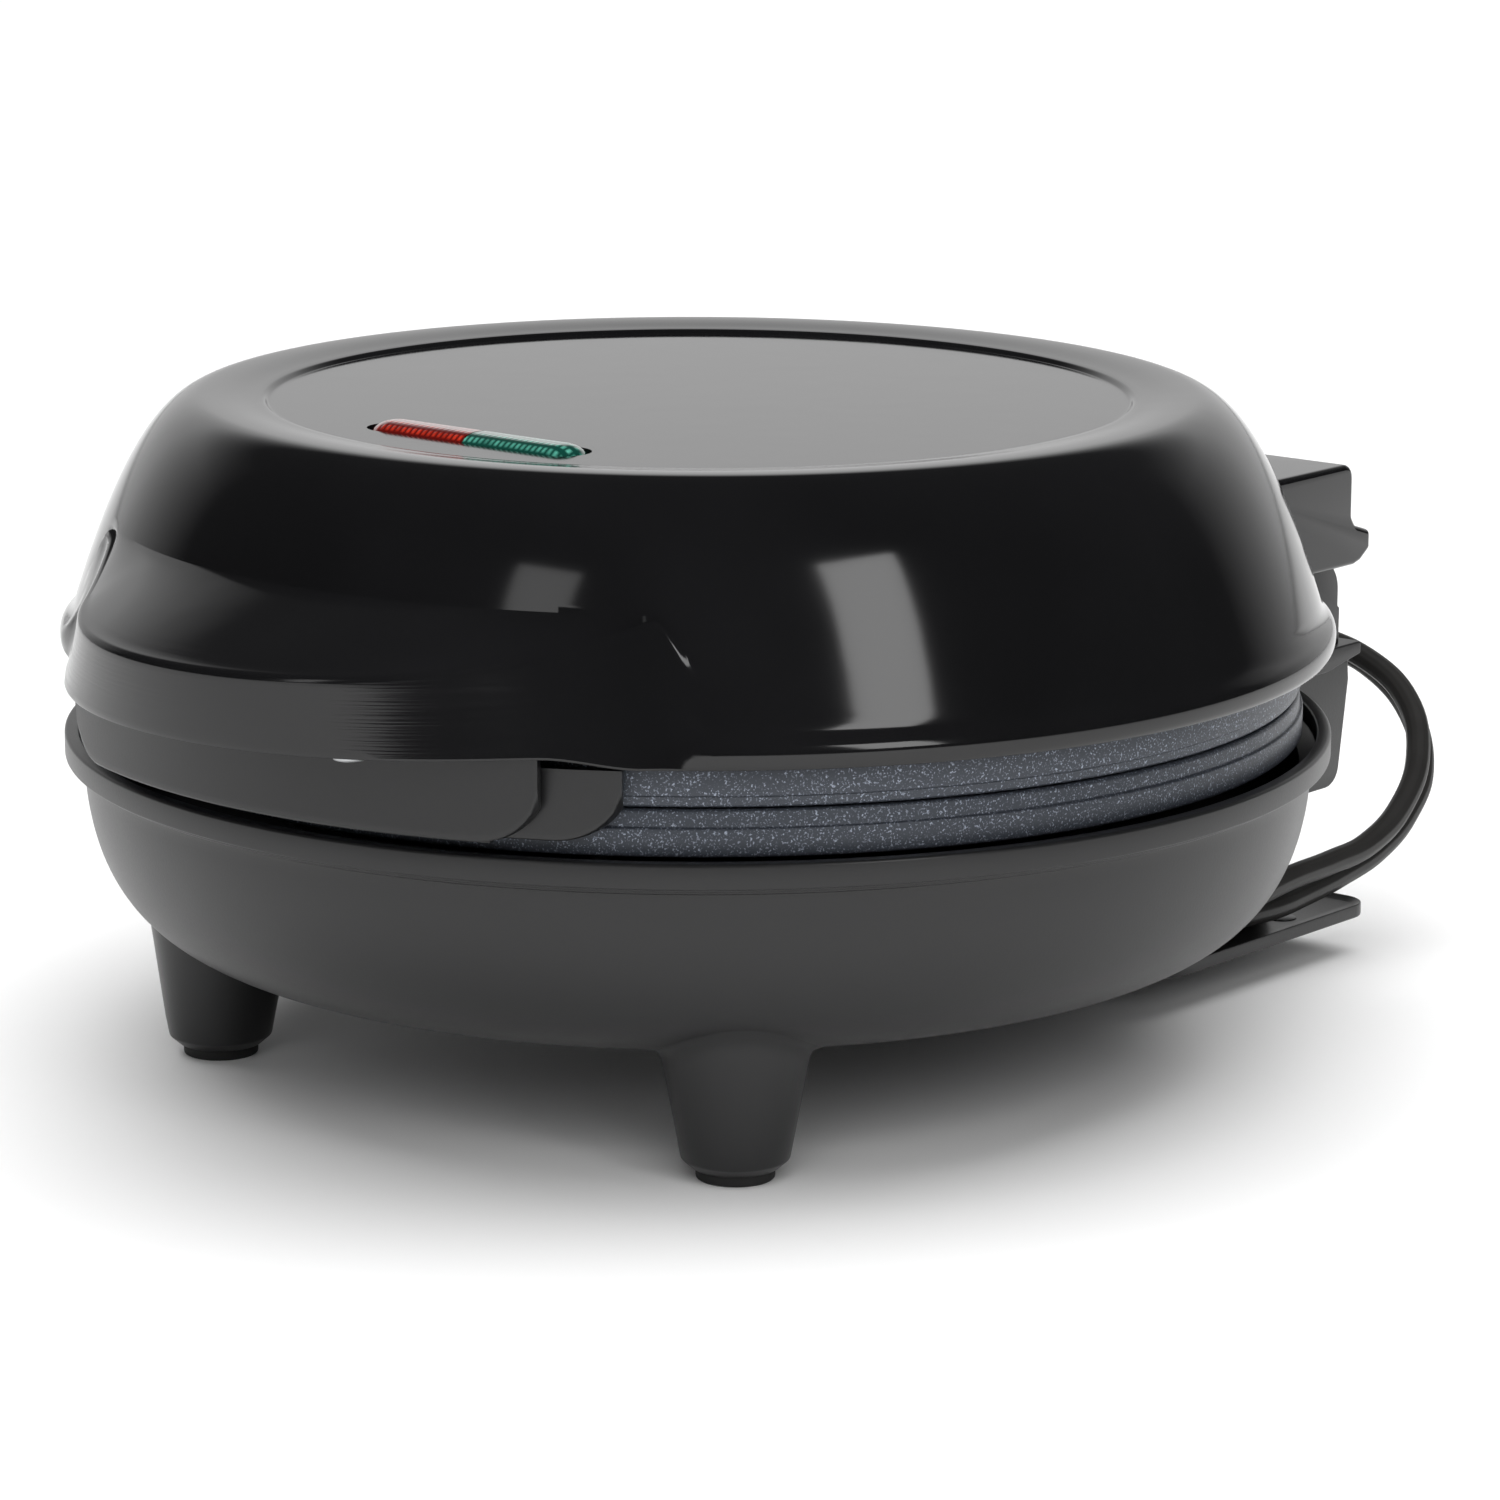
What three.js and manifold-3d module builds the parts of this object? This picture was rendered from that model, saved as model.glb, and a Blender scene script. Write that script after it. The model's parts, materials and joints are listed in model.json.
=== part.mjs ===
// Donut maker: a round electric baker with a hinged lid, two cooking plates with seven ring
// moulds, a front grip, three feet and a rear post that the mains lead is wound round.
// Millimetres, +Z up. The origin is on the floor, on the axis of the round body; the grip is
// at -Y and the hinge at +Y. The model is at rest with the lid closed.
import * as THREE from "three";
import { mergeVertices } from "three/addons/utils/BufferGeometryUtils.js";
import Module from "manifold-3d";

const wasm = await Module();
wasm.setup();

// Clearances, walls and smoothness
const GAP = 0.3; // between pieces that touch or run in each other
const WALL = 2.5; // moulded shells
const ROUND = 40; // sides of the large turned shells
const ROUND_SMALL = 10; // sides of screws, pins and bosses
const MOULD_SIDES = 12;

// Round body
const RIM_RADIUS = 110;
const BOWL_BOTTOM = 20.8;
const BOWL_DEPTH = 37.8;
const RIM_TOP = BOWL_BOTTOM + BOWL_DEPTH;
const RIM_BAND = 4.2;
const BOWL_INSET = 3.1; // bowl wall inside the rim band
const BOWL_FLOOR_RADIUS = RIM_RADIUS - 37.1;
const BOWL_ROUNDNESS = 2.73; // superellipse exponent of the bowl's corner

// Cooking plates
const PLATE_RADIUS = RIM_RADIUS - 5;
const PLATE_THICKNESS = 7.6;
const PLATE_LIP = 0.6; // step half way up the plate's edge
const PLATE_SINK = 0.2; // underside of the lower plate below the rim's top
const PLATE_PARTING = 0.4; // between the two closed plates
const PLATE_IN_LID = 0.6; // back of the upper plate above the lid's lower edge
const MOULD_RADIUS = 26;
const MOULD_POST = 7;
const MOULD_DEPTH = 9;
const MOULD_PITCH = 63.5;
const MOULDS_ROUND = 6;
const CAST_WALL = 2.5;
const LOWER_FACE = RIM_TOP - PLATE_SINK + PLATE_THICKNESS;
const UPPER_FACE = LOWER_FACE + PLATE_PARTING;
const MOULD_BACK = MOULD_DEPTH + CAST_WALL; // from a plate's face to the back of its moulds

// Plate screws and the posts they run into
const POST_PITCH = RIM_RADIUS - 19;
const POST_RADIUS = 4.5;
const POST_ANGLES = [30, 150, 270];
const SCREW_RADIUS = 1.7;
const SCREW_HEAD_RADIUS = 3.2;
const SCREW_HEAD_HEIGHT = 2;
const SCREW_LENGTH = 13;

// Heating pieces
const ELEMENT_PITCH = 60;
const ELEMENT_RADIUS = 3.25;
const ELEMENT_OPENING = 14; // degrees left open at the rear
const REFLECTOR_RADIUS = 80;
const REFLECTOR_THICKNESS = 1;
const REFLECTOR_STANDOFF = 4.5; // reflector behind the element's far side
const THERMOSTAT_RADIUS = 8;

// Lid
const LID_EDGE = UPPER_FACE + PLATE_THICKNESS - PLATE_IN_LID;
const LID_HEIGHT = 42.7;
const LID_TOP = LID_EDGE + LID_HEIGHT;
const CREST_RADIUS = RIM_RADIUS - 24.5;
const RECESS_DEPTH = 1.5;
const RECESS_STEP = 0.7; // of the depth, as a small step at the recess's edge
const RECESS_RADIUS = CREST_RADIUS - 11.1;
const BEAD_RADIUS = RIM_RADIUS + 0.4;

// Ledge of the lid that forms the top of the handle
const CREASE_RADIUS = RIM_RADIUS - 8;
const LEDGE_HALF_ANGLE = 36.7;
const LEDGE_REACH = RIM_RADIUS + 19;
const LEDGE_HALF_WIDTH = CREASE_RADIUS * Math.sin(THREE.MathUtils.degToRad(LEDGE_HALF_ANGLE));
const LEDGE_TOP_ARC = LEDGE_HALF_WIDTH - 9;
const LEDGE_FOOT_REACH = LEDGE_REACH - 1.5;
const LEDGE_FOOT_ARC = LEDGE_HALF_WIDTH + 3;
const LEDGE_DROP = 8.2; // the front edge below the crease
const LEDGE_ROUNDING = 1.2;
const LEDGE_BOTTOM = LID_EDGE + 2.1;
const LEDGE_SECTIONS = 16;

// Lower half of the handle
const GRIP_BOTTOM = RIM_TOP + 2.9;
const GRIP_WALL = 2;
const GRIP_FRONT_RADIUS = RIM_RADIUS + 3;
const GRIP_BACK_RADIUS = RIM_RADIUS - 0.8;
const GRIP_FRONT_HALF_WIDTH = 51.3;
const GRIP_BACK_HALF_WIDTH = 60.3;
const GRIP_CORNER = 9;
const GRIP_FLANGE = 2.2;
const GRIP_FLANGE_HALF_ANGLE = 20;
const GRIP_NECK_HALF_WIDTH = 38; // of the front wall where it rises into the ledge
const HANDLE_SCREW_ANGLE = 12.2;
const HANDLE_SCREW_RADIUS = 1.5;

// Hinge
const REAR_HALF_WIDTH = 57;
const HINGE_Y = RIM_RADIUS + 0.5;
const HINGE_Z = LID_EDGE + 2.1;
const PIN_RADIUS = 2;
const PIN_HEAD_RADIUS = 3.2;
const PIN_HEAD = 1.6;
const EAR_OUTER = REAR_HALF_WIDTH - 1.9;
const EAR_WIDTH = 5.6;
const EAR_RADIUS = 5.2;
const EAR_REAR = 7.7; // rear edge of an ear behind the hinge axis
const ARM_WIDTH = 6.2;
const ARM_RADIUS = 5;
const COVER_TOP = 18.5; // above the hinge axis
const COVER_REAR = 8.3; // behind the hinge axis
const COVER_LIP = 14.5; // rear lip behind the hinge axis
const COVER_SIDE_WALL = 1.6;
const COVER_WALL = 2;

// Rear block, tab and cord post of the base
const BLOCK_REAR = RIM_RADIUS + 9.9;
const BLOCK_BOTTOM = RIM_TOP - 24.7;
const TAB_TOP = RIM_TOP + 1.7;
const TAB_REAR = RIM_RADIUS + 12.7;
const TAB_EDGE = 2.3;
const WRAP_POST_HALF_WIDTH = 48;
const WRAP_POST_FRONT = RIM_RADIUS - 27;
const WRAP_POST_REAR = RIM_RADIUS + 7;
const WRAP_POST_CORNER = 15;
const WRAP_PLATE_BOTTOM = 7.3;
const WRAP_PLATE_THICKNESS = 2.6;
const WRAP_PLATE_FRONT = RIM_RADIUS - 52;
const WRAP_PLATE_REAR = RIM_RADIUS + 19;
const WRAP_PLATE_REAR_CORNER = 5.5;
const WRAP_PLATE_FRONT_CORNER = 12;
const WRAP_SCREW_X = 30;
const WRAP_SCREW_Y = RIM_RADIUS - 8;
const WRAP_SCREW_HEAD_Z = 24;

// Feet
const FOOT_PITCH = 84;
const FOOT_ANGLE = 44;
const FOOT_TOP_RADIUS = 12.1;
const FOOT_BOTTOM_RADIUS = 9;
const PAD_RADIUS = 6.5;
const PAD_HEIGHT = 2;
const REAR_FOOT_Y = RIM_RADIUS - 14;

// Indicator lamps in the recess of the lid
const WINDOW_Y = -57;
const WINDOW_LENGTH = 46.6;
const WINDOW_WIDTH = 9.9;
const LENS_RISE = 1.3;
const LENS_END_GAP = 0.9;

// Mains lead
const CORD_RADIUS = 2.3;
const CORD_EXIT_X = -8;
const CORD_EXIT_Z = 45;
const CORD_BORE = 3.6;
const RELIEF_LENGTH = 26;
const RELIEF_TIP_RADIUS = 3.1;
const RELIEF_TIP_Y = 148;
const CORD_SIDES = 8;
const CORD_STEPS = 80;
const PLUG_PIN_RADIUS = 2.4;
const PLUG_PIN_LENGTH = 19;
const PLUG_PIN_SPACING = 19;
const PLUG_LENGTH = 34;
const PLUG_WIDTH = 37;
const PLUG_HEIGHT = 27;
const PLUG_NECK = 18;
const PLUG_NECK_RADIUS = 4.6;

// The lead's route, from the strain relief to the plug: two loose turns round the cord post,
// then a short tail along the floor.
const CORD_ROUTE = [
  [-8, 148.3, 45], [-7.95, 151.5, 45], [-6.4, 158.3, 45.3], [-2.2, 164.3, 46], [4, 168.4, 46.9],
  [18.2, 169.3, 47.1], [30.4, 168.1, 44.2], [40.6, 166, 37], [47.4, 160, 28.3],
  [50.6, 149.8, 21.5], [51.7, 138.1, 16.8], [52, 125.7, 14.5], [52.6, 113, 13.4],
  [52.9, 100.4, 12.9], [49.9, 88.1, 12.8], [41.6, 78.7, 12.8], [29.7, 74.4, 12.8],
  [17.1, 72.9, 12.8], [4.4, 72.5, 12.8], [-8.3, 72.7, 12.8], [-20.9, 73.6, 12.9],
  [-33.3, 76.3, 13.5], [-44.6, 81.8, 15.3], [-53.6, 89.9, 18.7], [-59.8, 99.5, 24.2],
  [-63, 110, 30.6], [-62.7, 120.9, 36.9], [-58.1, 131.2, 42.7], [-49.7, 139.2, 47.5],
  [-38.6, 144.3, 51.1], [-26.5, 147.2, 53.2], [-14, 149.1, 54.2], [-1.4, 150.9, 54.4],
  [11.1, 153, 53.7], [23.3, 155.8, 51.9], [35.4, 157.7, 48.5], [46.1, 156, 42.1],
  [52.8, 149.9, 33.3], [55.4, 140.4, 25.4], [55.9, 128.8, 20.5], [55.6, 116.2, 19.1],
  [55.3, 103.5, 18.5], [54.5, 90.9, 16.9], [50.4, 79.3, 14.6], [40.8, 71.4, 13.1],
  [28.6, 68, 12.8], [16, 66.7, 12.8], [3.3, 66.2, 12.8], [-9.4, 66.2, 12.8],
  [-22.1, 66.8, 12.8], [-34.5, 69.3, 13.1], [-46.4, 73.7, 13.7], [-57.8, 79.4, 13.4],
  [-68.6, 85.5, 10.9], [-78.7, 92.3, 7.4], [-87.8, 100.6, 4.5], [-94.9, 111, 3.1],
  [-98.5, 123.1, 3.3], [-97, 135.4, 5.3], [-91, 145.5, 8.6], [-80.5, 150.1, 12.2],
  [-73, 150.5, 13.4], [-66, 150.5, 13.6],
];
const PLUG_START = [-66, 150.5, 13.6];

const COLOURS = {
  gloss: [0x16161a, 0.14, 0],
  satin: [0x434345, 0.5, 0],
  plate: [0x4b4f58, 0.45, 0.4],
  steel: [0xb9bcc0, 0.35, 0.9],
  brass: [0xc9a55a, 0.35, 0.9],
  rubber: [0x1d1d1d, 0.85, 0],
  cord: [0x2b2a29, 0.6, 0],
  ceramic: [0xd8d2c4, 0.6, 0],
  red: [0x8a1a10, 0.2, 0],
  green: [0x2f6f5f, 0.2, 0],
};
const MATERIALS = Object.fromEntries(
  Object.entries(COLOURS).map(([name, [color, roughness, metalness]]) => [
    name,
    new THREE.MeshStandardMaterial({ name, color, roughness, metalness, flatShading: true }),
  ]),
);

// ---- Helpers ----

// A plan position at a radius and an angle in degrees from -Y towards +X.
function polar(radius, angle) {
  const a = THREE.MathUtils.degToRad(angle);
  return [radius * Math.sin(a), -radius * Math.cos(a)];
}

// A closed three.js geometry as a solid that can be joined and cut.
function solidOf(geometry) {
  const bare = new THREE.BufferGeometry();
  bare.setAttribute("position", geometry.getAttribute("position"));
  bare.setIndex(geometry.index);
  const merged = mergeVertices(bare, 1e-3);
  const triVerts = new Uint32Array(merged.index.array);
  const vertProperties = merged.attributes.position.array;
  return new wasm.Manifold(new wasm.Mesh({ numProp: 3, vertProperties, triVerts }));
}

// A solid's surface as a geometry.
function geometryOf(solid) {
  const { vertProperties, triVerts } = solid.getMesh();
  const geometry = new THREE.BufferGeometry();
  geometry.setAttribute("position", new THREE.BufferAttribute(vertProperties, 3));
  geometry.setIndex(new THREE.BufferAttribute(triVerts, 1));
  geometry.computeVertexNormals();
  return geometry;
}

// A solid turned round Z from a closed outline of [radius, z] points.
function turned(outline, sides = ROUND) {
  const ring = outline.map(([r, z]) => new THREE.Vector2(r, z));
  if (THREE.ShapeUtils.area(ring) < 0) ring.reverse();
  const meetsAxis = ring[0].x === 0 && ring.at(-1).x === 0;
  if (!meetsAxis) ring.push(ring[0].clone());
  return solidOf(new THREE.LatheGeometry(ring, sides).rotateX(Math.PI / 2));
}

// A disc or short cylinder on the axis.
function drum(radius, bottom, top, sides = ROUND_SMALL) {
  return turned([[0, bottom], [radius, bottom], [radius, top], [0, top]], sides);
}

// A plan outline raised from one height to another.
function raised(shape, bottom, top, curveSegments = 6) {
  const options = { depth: top - bottom, bevelEnabled: false, curveSegments };
  return solidOf(new THREE.ExtrudeGeometry(shape, options).translate(0, 0, bottom));
}

// An outline of [y, z] points drawn out along X.
function acrossX(outline, left, right) {
  const options = { depth: right - left, bevelEnabled: false };
  const geometry = new THREE.ExtrudeGeometry(polygon(outline), options);
  const turn = new THREE.Matrix4().makeBasis(
    new THREE.Vector3(0, 1, 0),
    new THREE.Vector3(0, 0, 1),
    new THREE.Vector3(1, 0, 0),
  );
  return solidOf(geometry.applyMatrix4(turn).translate(left, 0, 0));
}

// A shape in X and Z drawn out along Y.
function acrossY(shape, front, rear, curveSegments = 5) {
  const options = { depth: rear - front, bevelEnabled: false, curveSegments };
  const geometry = new THREE.ExtrudeGeometry(shape, options);
  return solidOf(geometry.rotateX(Math.PI / 2).translate(0, rear, 0));
}

function polygon(points) {
  return new THREE.Shape(points.map(([x, y]) => new THREE.Vector2(x, y)));
}

// A rectangle whose corners have their own radii: low Y side first, then high Y side.
function roundedBox(x0, y0, x1, y1, lowRadius, highRadius) {
  const shape = new THREE.Shape();
  const quarter = Math.PI / 2;
  shape.moveTo(x0 + lowRadius, y0);
  shape.lineTo(x1 - lowRadius, y0);
  shape.absarc(x1 - lowRadius, y0 + lowRadius, lowRadius, -quarter, 0, false);
  shape.lineTo(x1, y1 - highRadius);
  shape.absarc(x1 - highRadius, y1 - highRadius, highRadius, 0, quarter, false);
  shape.lineTo(x0 + highRadius, y1);
  shape.absarc(x0 + highRadius, y1 - highRadius, highRadius, quarter, 2 * quarter, false);
  shape.lineTo(x0, y0 + lowRadius);
  shape.absarc(x0 + lowRadius, y0 + lowRadius, lowRadius, 2 * quarter, 3 * quarter, false);
  return shape;
}

function block(x0, y0, z0, x1, y1, z1) {
  const box = new THREE.BoxGeometry(x1 - x0, y1 - y0, z1 - z0);
  return solidOf(box.translate((x0 + x1) / 2, (y0 + y1) / 2, (z0 + z1) / 2));
}

// A cylinder along X or Y.
function rodX(radius, left, right, y, z, sides = ROUND_SMALL) {
  return drum(radius, left, right, sides).rotate([0, 90, 0]).translate([0, y, z]);
}

function rodY(radius, front, rear, x, z, sides = ROUND_SMALL) {
  return drum(radius, -rear, -front, sides).rotate([90, 0, 0]).translate([x, 0, z]);
}

// A round tube along a smooth curve through the points.
function tube(points, radius, steps, sides) {
  const path = new THREE.CatmullRomCurve3(points.map((p) => new THREE.Vector3(...p)));
  const section = new THREE.Shape();
  section.absarc(0, 0, radius, 0, 2 * Math.PI, false);
  const options = { steps, extrudePath: path, curveSegments: sides / 2 };
  return solidOf(new THREE.ExtrudeGeometry(section, options));
}

// A solid through convex sections that all have the same number of points.
function lofted(sections) {
  const count = sections[0].length;
  const last = (sections.length - 1) * count;
  const positions = sections.flat(2);
  const index = [];
  for (let s = 0; s < sections.length - 1; s += 1) {
    for (let p = 0; p < count; p += 1) {
      const a = s * count + p;
      const b = s * count + ((p + 1) % count);
      index.push(a, b + count, b, a, a + count, b + count);
    }
  }
  for (let p = 1; p < count - 1; p += 1) {
    index.push(0, p, p + 1, last, last + p + 1, last + p);
  }
  const geometry = new THREE.BufferGeometry();
  geometry.setAttribute("position", new THREE.Float32BufferAttribute(positions, 3));
  geometry.setIndex(index);
  return solidOf(geometry);
}

function piece(parent, name, solid, material, position = [0, 0, 0]) {
  const mesh = new THREE.Mesh(geometryOf(solid), MATERIALS[material]);
  mesh.name = name;
  mesh.position.set(...position);
  parent.add(mesh);
}

// A pan-head screw pointing up, its head's underside at z = 0.
function screw(radius, headRadius, headHeight, length) {
  return turned([
    [0, -headHeight], [headRadius * 0.8, -headHeight], [headRadius, -headHeight * 0.5],
    [headRadius, 0], [radius, 0], [radius, length - radius], [0, length],
  ], ROUND_SMALL);
}

// ---- Lower housing ----

// Outer outline of the bowl up to the rim band, grown by an offset.
function bowlCurve(offset, steps = 6) {
  const top = RIM_TOP + 1.4;
  const side = RIM_RADIUS - BOWL_INSET - BOWL_FLOOR_RADIUS + offset;
  const depth = top - BOWL_BOTTOM + offset;
  const power = 2 / BOWL_ROUNDNESS;
  const points = [];
  for (let i = 0; i <= steps; i += 1) {
    const t = THREE.MathUtils.lerp(Math.PI / 2, 0.12, i / steps);
    const r = BOWL_FLOOR_RADIUS + side * Math.cos(t) ** power;
    points.push([r, top - depth * Math.sin(t) ** power]);
  }
  return points;
}

// The bowl with its rim as one full solid, grown by an offset, to cut its neighbours with.
function bowlEnvelope(offset) {
  return turned([
    [0, BOWL_BOTTOM - offset],
    ...bowlCurve(offset),
    [RIM_RADIUS + offset, RIM_TOP - RIM_BAND - offset],
    [RIM_RADIUS + offset, TAB_TOP + 4],
    [0, TAB_TOP + 4],
  ]);
}

function lowerHousing() {
  const lipInner = RIM_RADIUS - WALL;
  const bandFoot = RIM_TOP - RIM_BAND;
  let body = turned([
    [0, BOWL_BOTTOM],
    ...bowlCurve(0),
    [lipInner, bandFoot - 0.9],
    [RIM_RADIUS, bandFoot],
    [RIM_RADIUS, RIM_TOP],
    [lipInner, RIM_TOP],
    [lipInner, bandFoot + 2],
    ...bowlCurve(-WALL).reverse(),
    [0, BOWL_BOTTOM + WALL],
  ]);
  const postTop = RIM_TOP - PLATE_SINK - GAP;
  const inside = bowlEnvelope(-WALL / 2);
  for (const angle of POST_ANGLES) {
    const [x, y] = polar(POST_PITCH, angle);
    const post = drum(POST_RADIUS, BOWL_BOTTOM, postTop).translate([x, y, 0]);
    const bore = drum(SCREW_RADIUS + GAP, postTop - SCREW_LENGTH, RIM_TOP).translate([x, y, 0]);
    body = body.add(post.intersect(inside)).subtract(bore);
  }
  const rear = RIM_RADIUS + 5;
  return body.subtract(rodY(CORD_BORE, rear - 30, rear, CORD_EXIT_X, CORD_EXIT_Z));
}

// ---- Cooking plates ----

// A plate with its cooking face at z = 0 facing up and its moulds hanging below.
function cookingPlate() {
  const half = PLATE_THICKNESS / 2;
  let plate = turned([
    [0, -PLATE_THICKNESS], [PLATE_RADIUS, -PLATE_THICKNESS], [PLATE_RADIUS, -half],
    [PLATE_RADIUS - PLATE_LIP, -half], [PLATE_RADIUS - PLATE_LIP, 0], [0, 0],
  ]);
  const back = MOULD_RADIUS + CAST_WALL;
  const bulge = turned([
    [0, -MOULD_BACK], [back - 4, -MOULD_BACK], [back, -half - 1], [0, -half - 1],
  ], MOULD_SIDES);
  const middle = (MOULD_RADIUS + MOULD_POST) / 2;
  const shoulder = (MOULD_RADIUS - MOULD_POST) / 2 * 0.74;
  const groove = turned([
    [MOULD_RADIUS, 1], [MOULD_RADIUS, 0], [middle + shoulder, -MOULD_DEPTH * 0.7],
    [middle, -MOULD_DEPTH], [middle - shoulder, -MOULD_DEPTH * 0.7], [MOULD_POST, 0],
    [MOULD_POST, 1],
  ], MOULD_SIDES);
  const centres = [[0, 0]];
  for (let i = 0; i < MOULDS_ROUND; i += 1) {
    centres.push(polar(MOULD_PITCH, (i * 360) / MOULDS_ROUND));
  }
  for (const [x, y] of centres) plate = plate.add(bulge.translate([x, y, 0]));
  for (const [x, y] of centres) plate = plate.subtract(groove.translate([x, y, 0]));
  const hole = turned([
    [0, -PLATE_THICKNESS - 1], [SCREW_RADIUS + GAP, -PLATE_THICKNESS - 1],
    [SCREW_RADIUS + GAP, -SCREW_HEAD_HEIGHT - GAP],
    [SCREW_HEAD_RADIUS + GAP, -SCREW_HEAD_HEIGHT - GAP],
    [SCREW_HEAD_RADIUS + GAP, 1], [0, 1],
  ], ROUND_SMALL);
  for (const angle of POST_ANGLES) {
    plate = plate.subtract(hole.translate([...polar(POST_PITCH, angle), 0]));
  }
  return plate;
}

function plateScrew() {
  return screw(SCREW_RADIUS, SCREW_HEAD_RADIUS, SCREW_HEAD_HEIGHT, SCREW_LENGTH);
}

// An open ring of sheathed heating rod with its gap at the rear.
function heatingElement(z) {
  const points = [];
  const reach = 180 - ELEMENT_OPENING / 2;
  for (let i = 0; i <= 24; i += 1) {
    const [x, y] = polar(ELEMENT_PITCH, THREE.MathUtils.lerp(-reach, reach, i / 24));
    points.push([x, y, z]);
  }
  return tube(points, ELEMENT_RADIUS, 36, 8);
}

// A shallow dish behind the element that throws its heat back at the plate.
function reflector(z, rise) {
  const inner = REFLECTOR_RADIUS - 6;
  const t = REFLECTOR_THICKNESS;
  return turned([
    [0, z], [inner, z], [REFLECTOR_RADIUS, z + rise], [REFLECTOR_RADIUS, z + rise + t],
    [inner, z + t], [0, z + t],
  ], ROUND / 2);
}

// ---- Lid ----

const SHOULDER = new THREE.CubicBezierCurve(
  new THREE.Vector2(RIM_RADIUS - 2.5, LID_EDGE + 8.1),
  new THREE.Vector2(RIM_RADIUS - 7.95, LID_TOP - 17.5),
  new THREE.Vector2(RIM_RADIUS - 15.6, LID_TOP),
  new THREE.Vector2(CREST_RADIUS, LID_TOP),
);

// The lid's shoulder from the bead up to the crest, moved inwards by an inset.
function shoulderCurve(inset, steps = 6) {
  const points = [];
  for (let i = 0; i <= steps; i += 1) {
    const p = SHOULDER.getPoint(i / steps);
    const d = SHOULDER.getTangent(i / steps);
    points.push([p.x - d.y * inset, p.y + d.x * inset]);
  }
  return points;
}

// Height of the shoulder at a radius.
function shoulderHeight(radius) {
  let low = 0;
  let high = 1;
  for (let i = 0; i < 30; i += 1) {
    const mid = (low + high) / 2;
    if (SHOULDER.getPoint(mid).x > radius) low = mid;
    else high = mid;
  }
  return SHOULDER.getPoint(low).y;
}

// The lid as one full solid, grown by an offset, down to its lower edge.
function lidEnvelope(offset) {
  return turned([
    [0, LID_EDGE - offset],
    [BEAD_RADIUS - 0.8 + offset, LID_EDGE - offset],
    [BEAD_RADIUS + offset, LID_EDGE + 1.2],
    [BEAD_RADIUS + offset, LID_EDGE + 2.8],
    [BEAD_RADIUS - 1.4 + offset, LID_EDGE + 4.9],
    ...shoulderCurve(-offset),
    [RECESS_RADIUS + 1, LID_TOP - RECESS_DEPTH + RECESS_STEP + offset],
    [RECESS_RADIUS, LID_TOP - RECESS_DEPTH + offset],
    [0, LID_TOP - RECESS_DEPTH + offset],
  ]);
}

function lidHollow() {
  return turned([
    [0, LID_EDGE - 8],
    [BEAD_RADIUS - 0.8 - WALL, LID_EDGE - 8],
    [BEAD_RADIUS - 0.8 - WALL, LID_EDGE + 2],
    ...shoulderCurve(WALL),
    [RECESS_RADIUS, LID_TOP - RECESS_DEPTH - WALL],
    [0, LID_TOP - RECESS_DEPTH - WALL],
  ]);
}

// Radius, at an angle in degrees, of a front arc joined by tangents to the ledge's two tips.
function ledgeRadius(angle, reach, arcRadius, tipRadius) {
  const centre = reach - arcRadius;
  const [tipX, tipY] = polar(tipRadius, LEDGE_HALF_ANGLE);
  const away = Math.hypot(tipX, tipY + centre);
  const heading = Math.atan2(-(tipY + centre), tipX);
  const touch = heading + Math.acos(Math.min(1, arcRadius / away));
  const tangentX = arcRadius * Math.cos(touch);
  const tangentY = -centre - arcRadius * Math.sin(touch);
  const a = THREE.MathUtils.degToRad(Math.abs(angle));
  if (a <= Math.atan2(tangentX, -tangentY)) {
    const half = centre * Math.cos(a);
    return half + Math.sqrt(Math.max(0, arcRadius ** 2 - (centre * Math.sin(a)) ** 2));
  }
  const dx = tipX - tangentX;
  const dy = tipY - tangentY;
  return (tangentX * dy - tangentY * dx) / (Math.sin(a) * dy + Math.cos(a) * dx);
}

function ledgeTopRadius(angle) {
  return ledgeRadius(angle, LEDGE_REACH, LEDGE_TOP_ARC, CREASE_RADIUS);
}

function ledgeFootRadius(angle) {
  return ledgeRadius(angle, LEDGE_FOOT_REACH, LEDGE_FOOT_ARC, BEAD_RADIUS - 0.6);
}

// The ledge between two angles, its outer faces moved inwards by an inset.
function ledge(halfAngle, inset, bottom) {
  const creaseZ = shoulderHeight(CREASE_RADIUS);
  const inner = CREASE_RADIUS - WALL;
  const sections = [];
  for (let i = 0; i <= LEDGE_SECTIONS; i += 1) {
    const angle = THREE.MathUtils.lerp(-halfAngle, halfAngle, i / LEDGE_SECTIONS);
    const rise = Math.abs(angle / LEDGE_HALF_ANGLE) ** 3;
    const top = creaseZ - LEDGE_DROP * (1 - rise) - inset;
    const edge = ledgeTopRadius(angle) - inset;
    const outline = [
      [inner, bottom],
      [ledgeFootRadius(angle) - inset, bottom],
      [edge, top - LEDGE_ROUNDING],
      [edge - LEDGE_ROUNDING, top],
      [CREASE_RADIUS, creaseZ - inset],
      [inner, creaseZ - inset],
    ];
    sections.push(outline.map(([r, z]) => [...polar(r, angle), z]));
  }
  return lofted(sections);
}

// The right-hand handle screw stands midway between the grip's front wall and the ledge's.
function handleScrewPlace() {
  const skirt = ledgeFootRadius(HANDLE_SCREW_ANGLE) - WALL;
  return polar((GRIP_FRONT_RADIUS + skirt) / 2, HANDLE_SCREW_ANGLE);
}

function pill(length, width) {
  return roundedBox(-length / 2, -width / 2, length / 2, width / 2, width / 2, width / 2);
}

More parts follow.
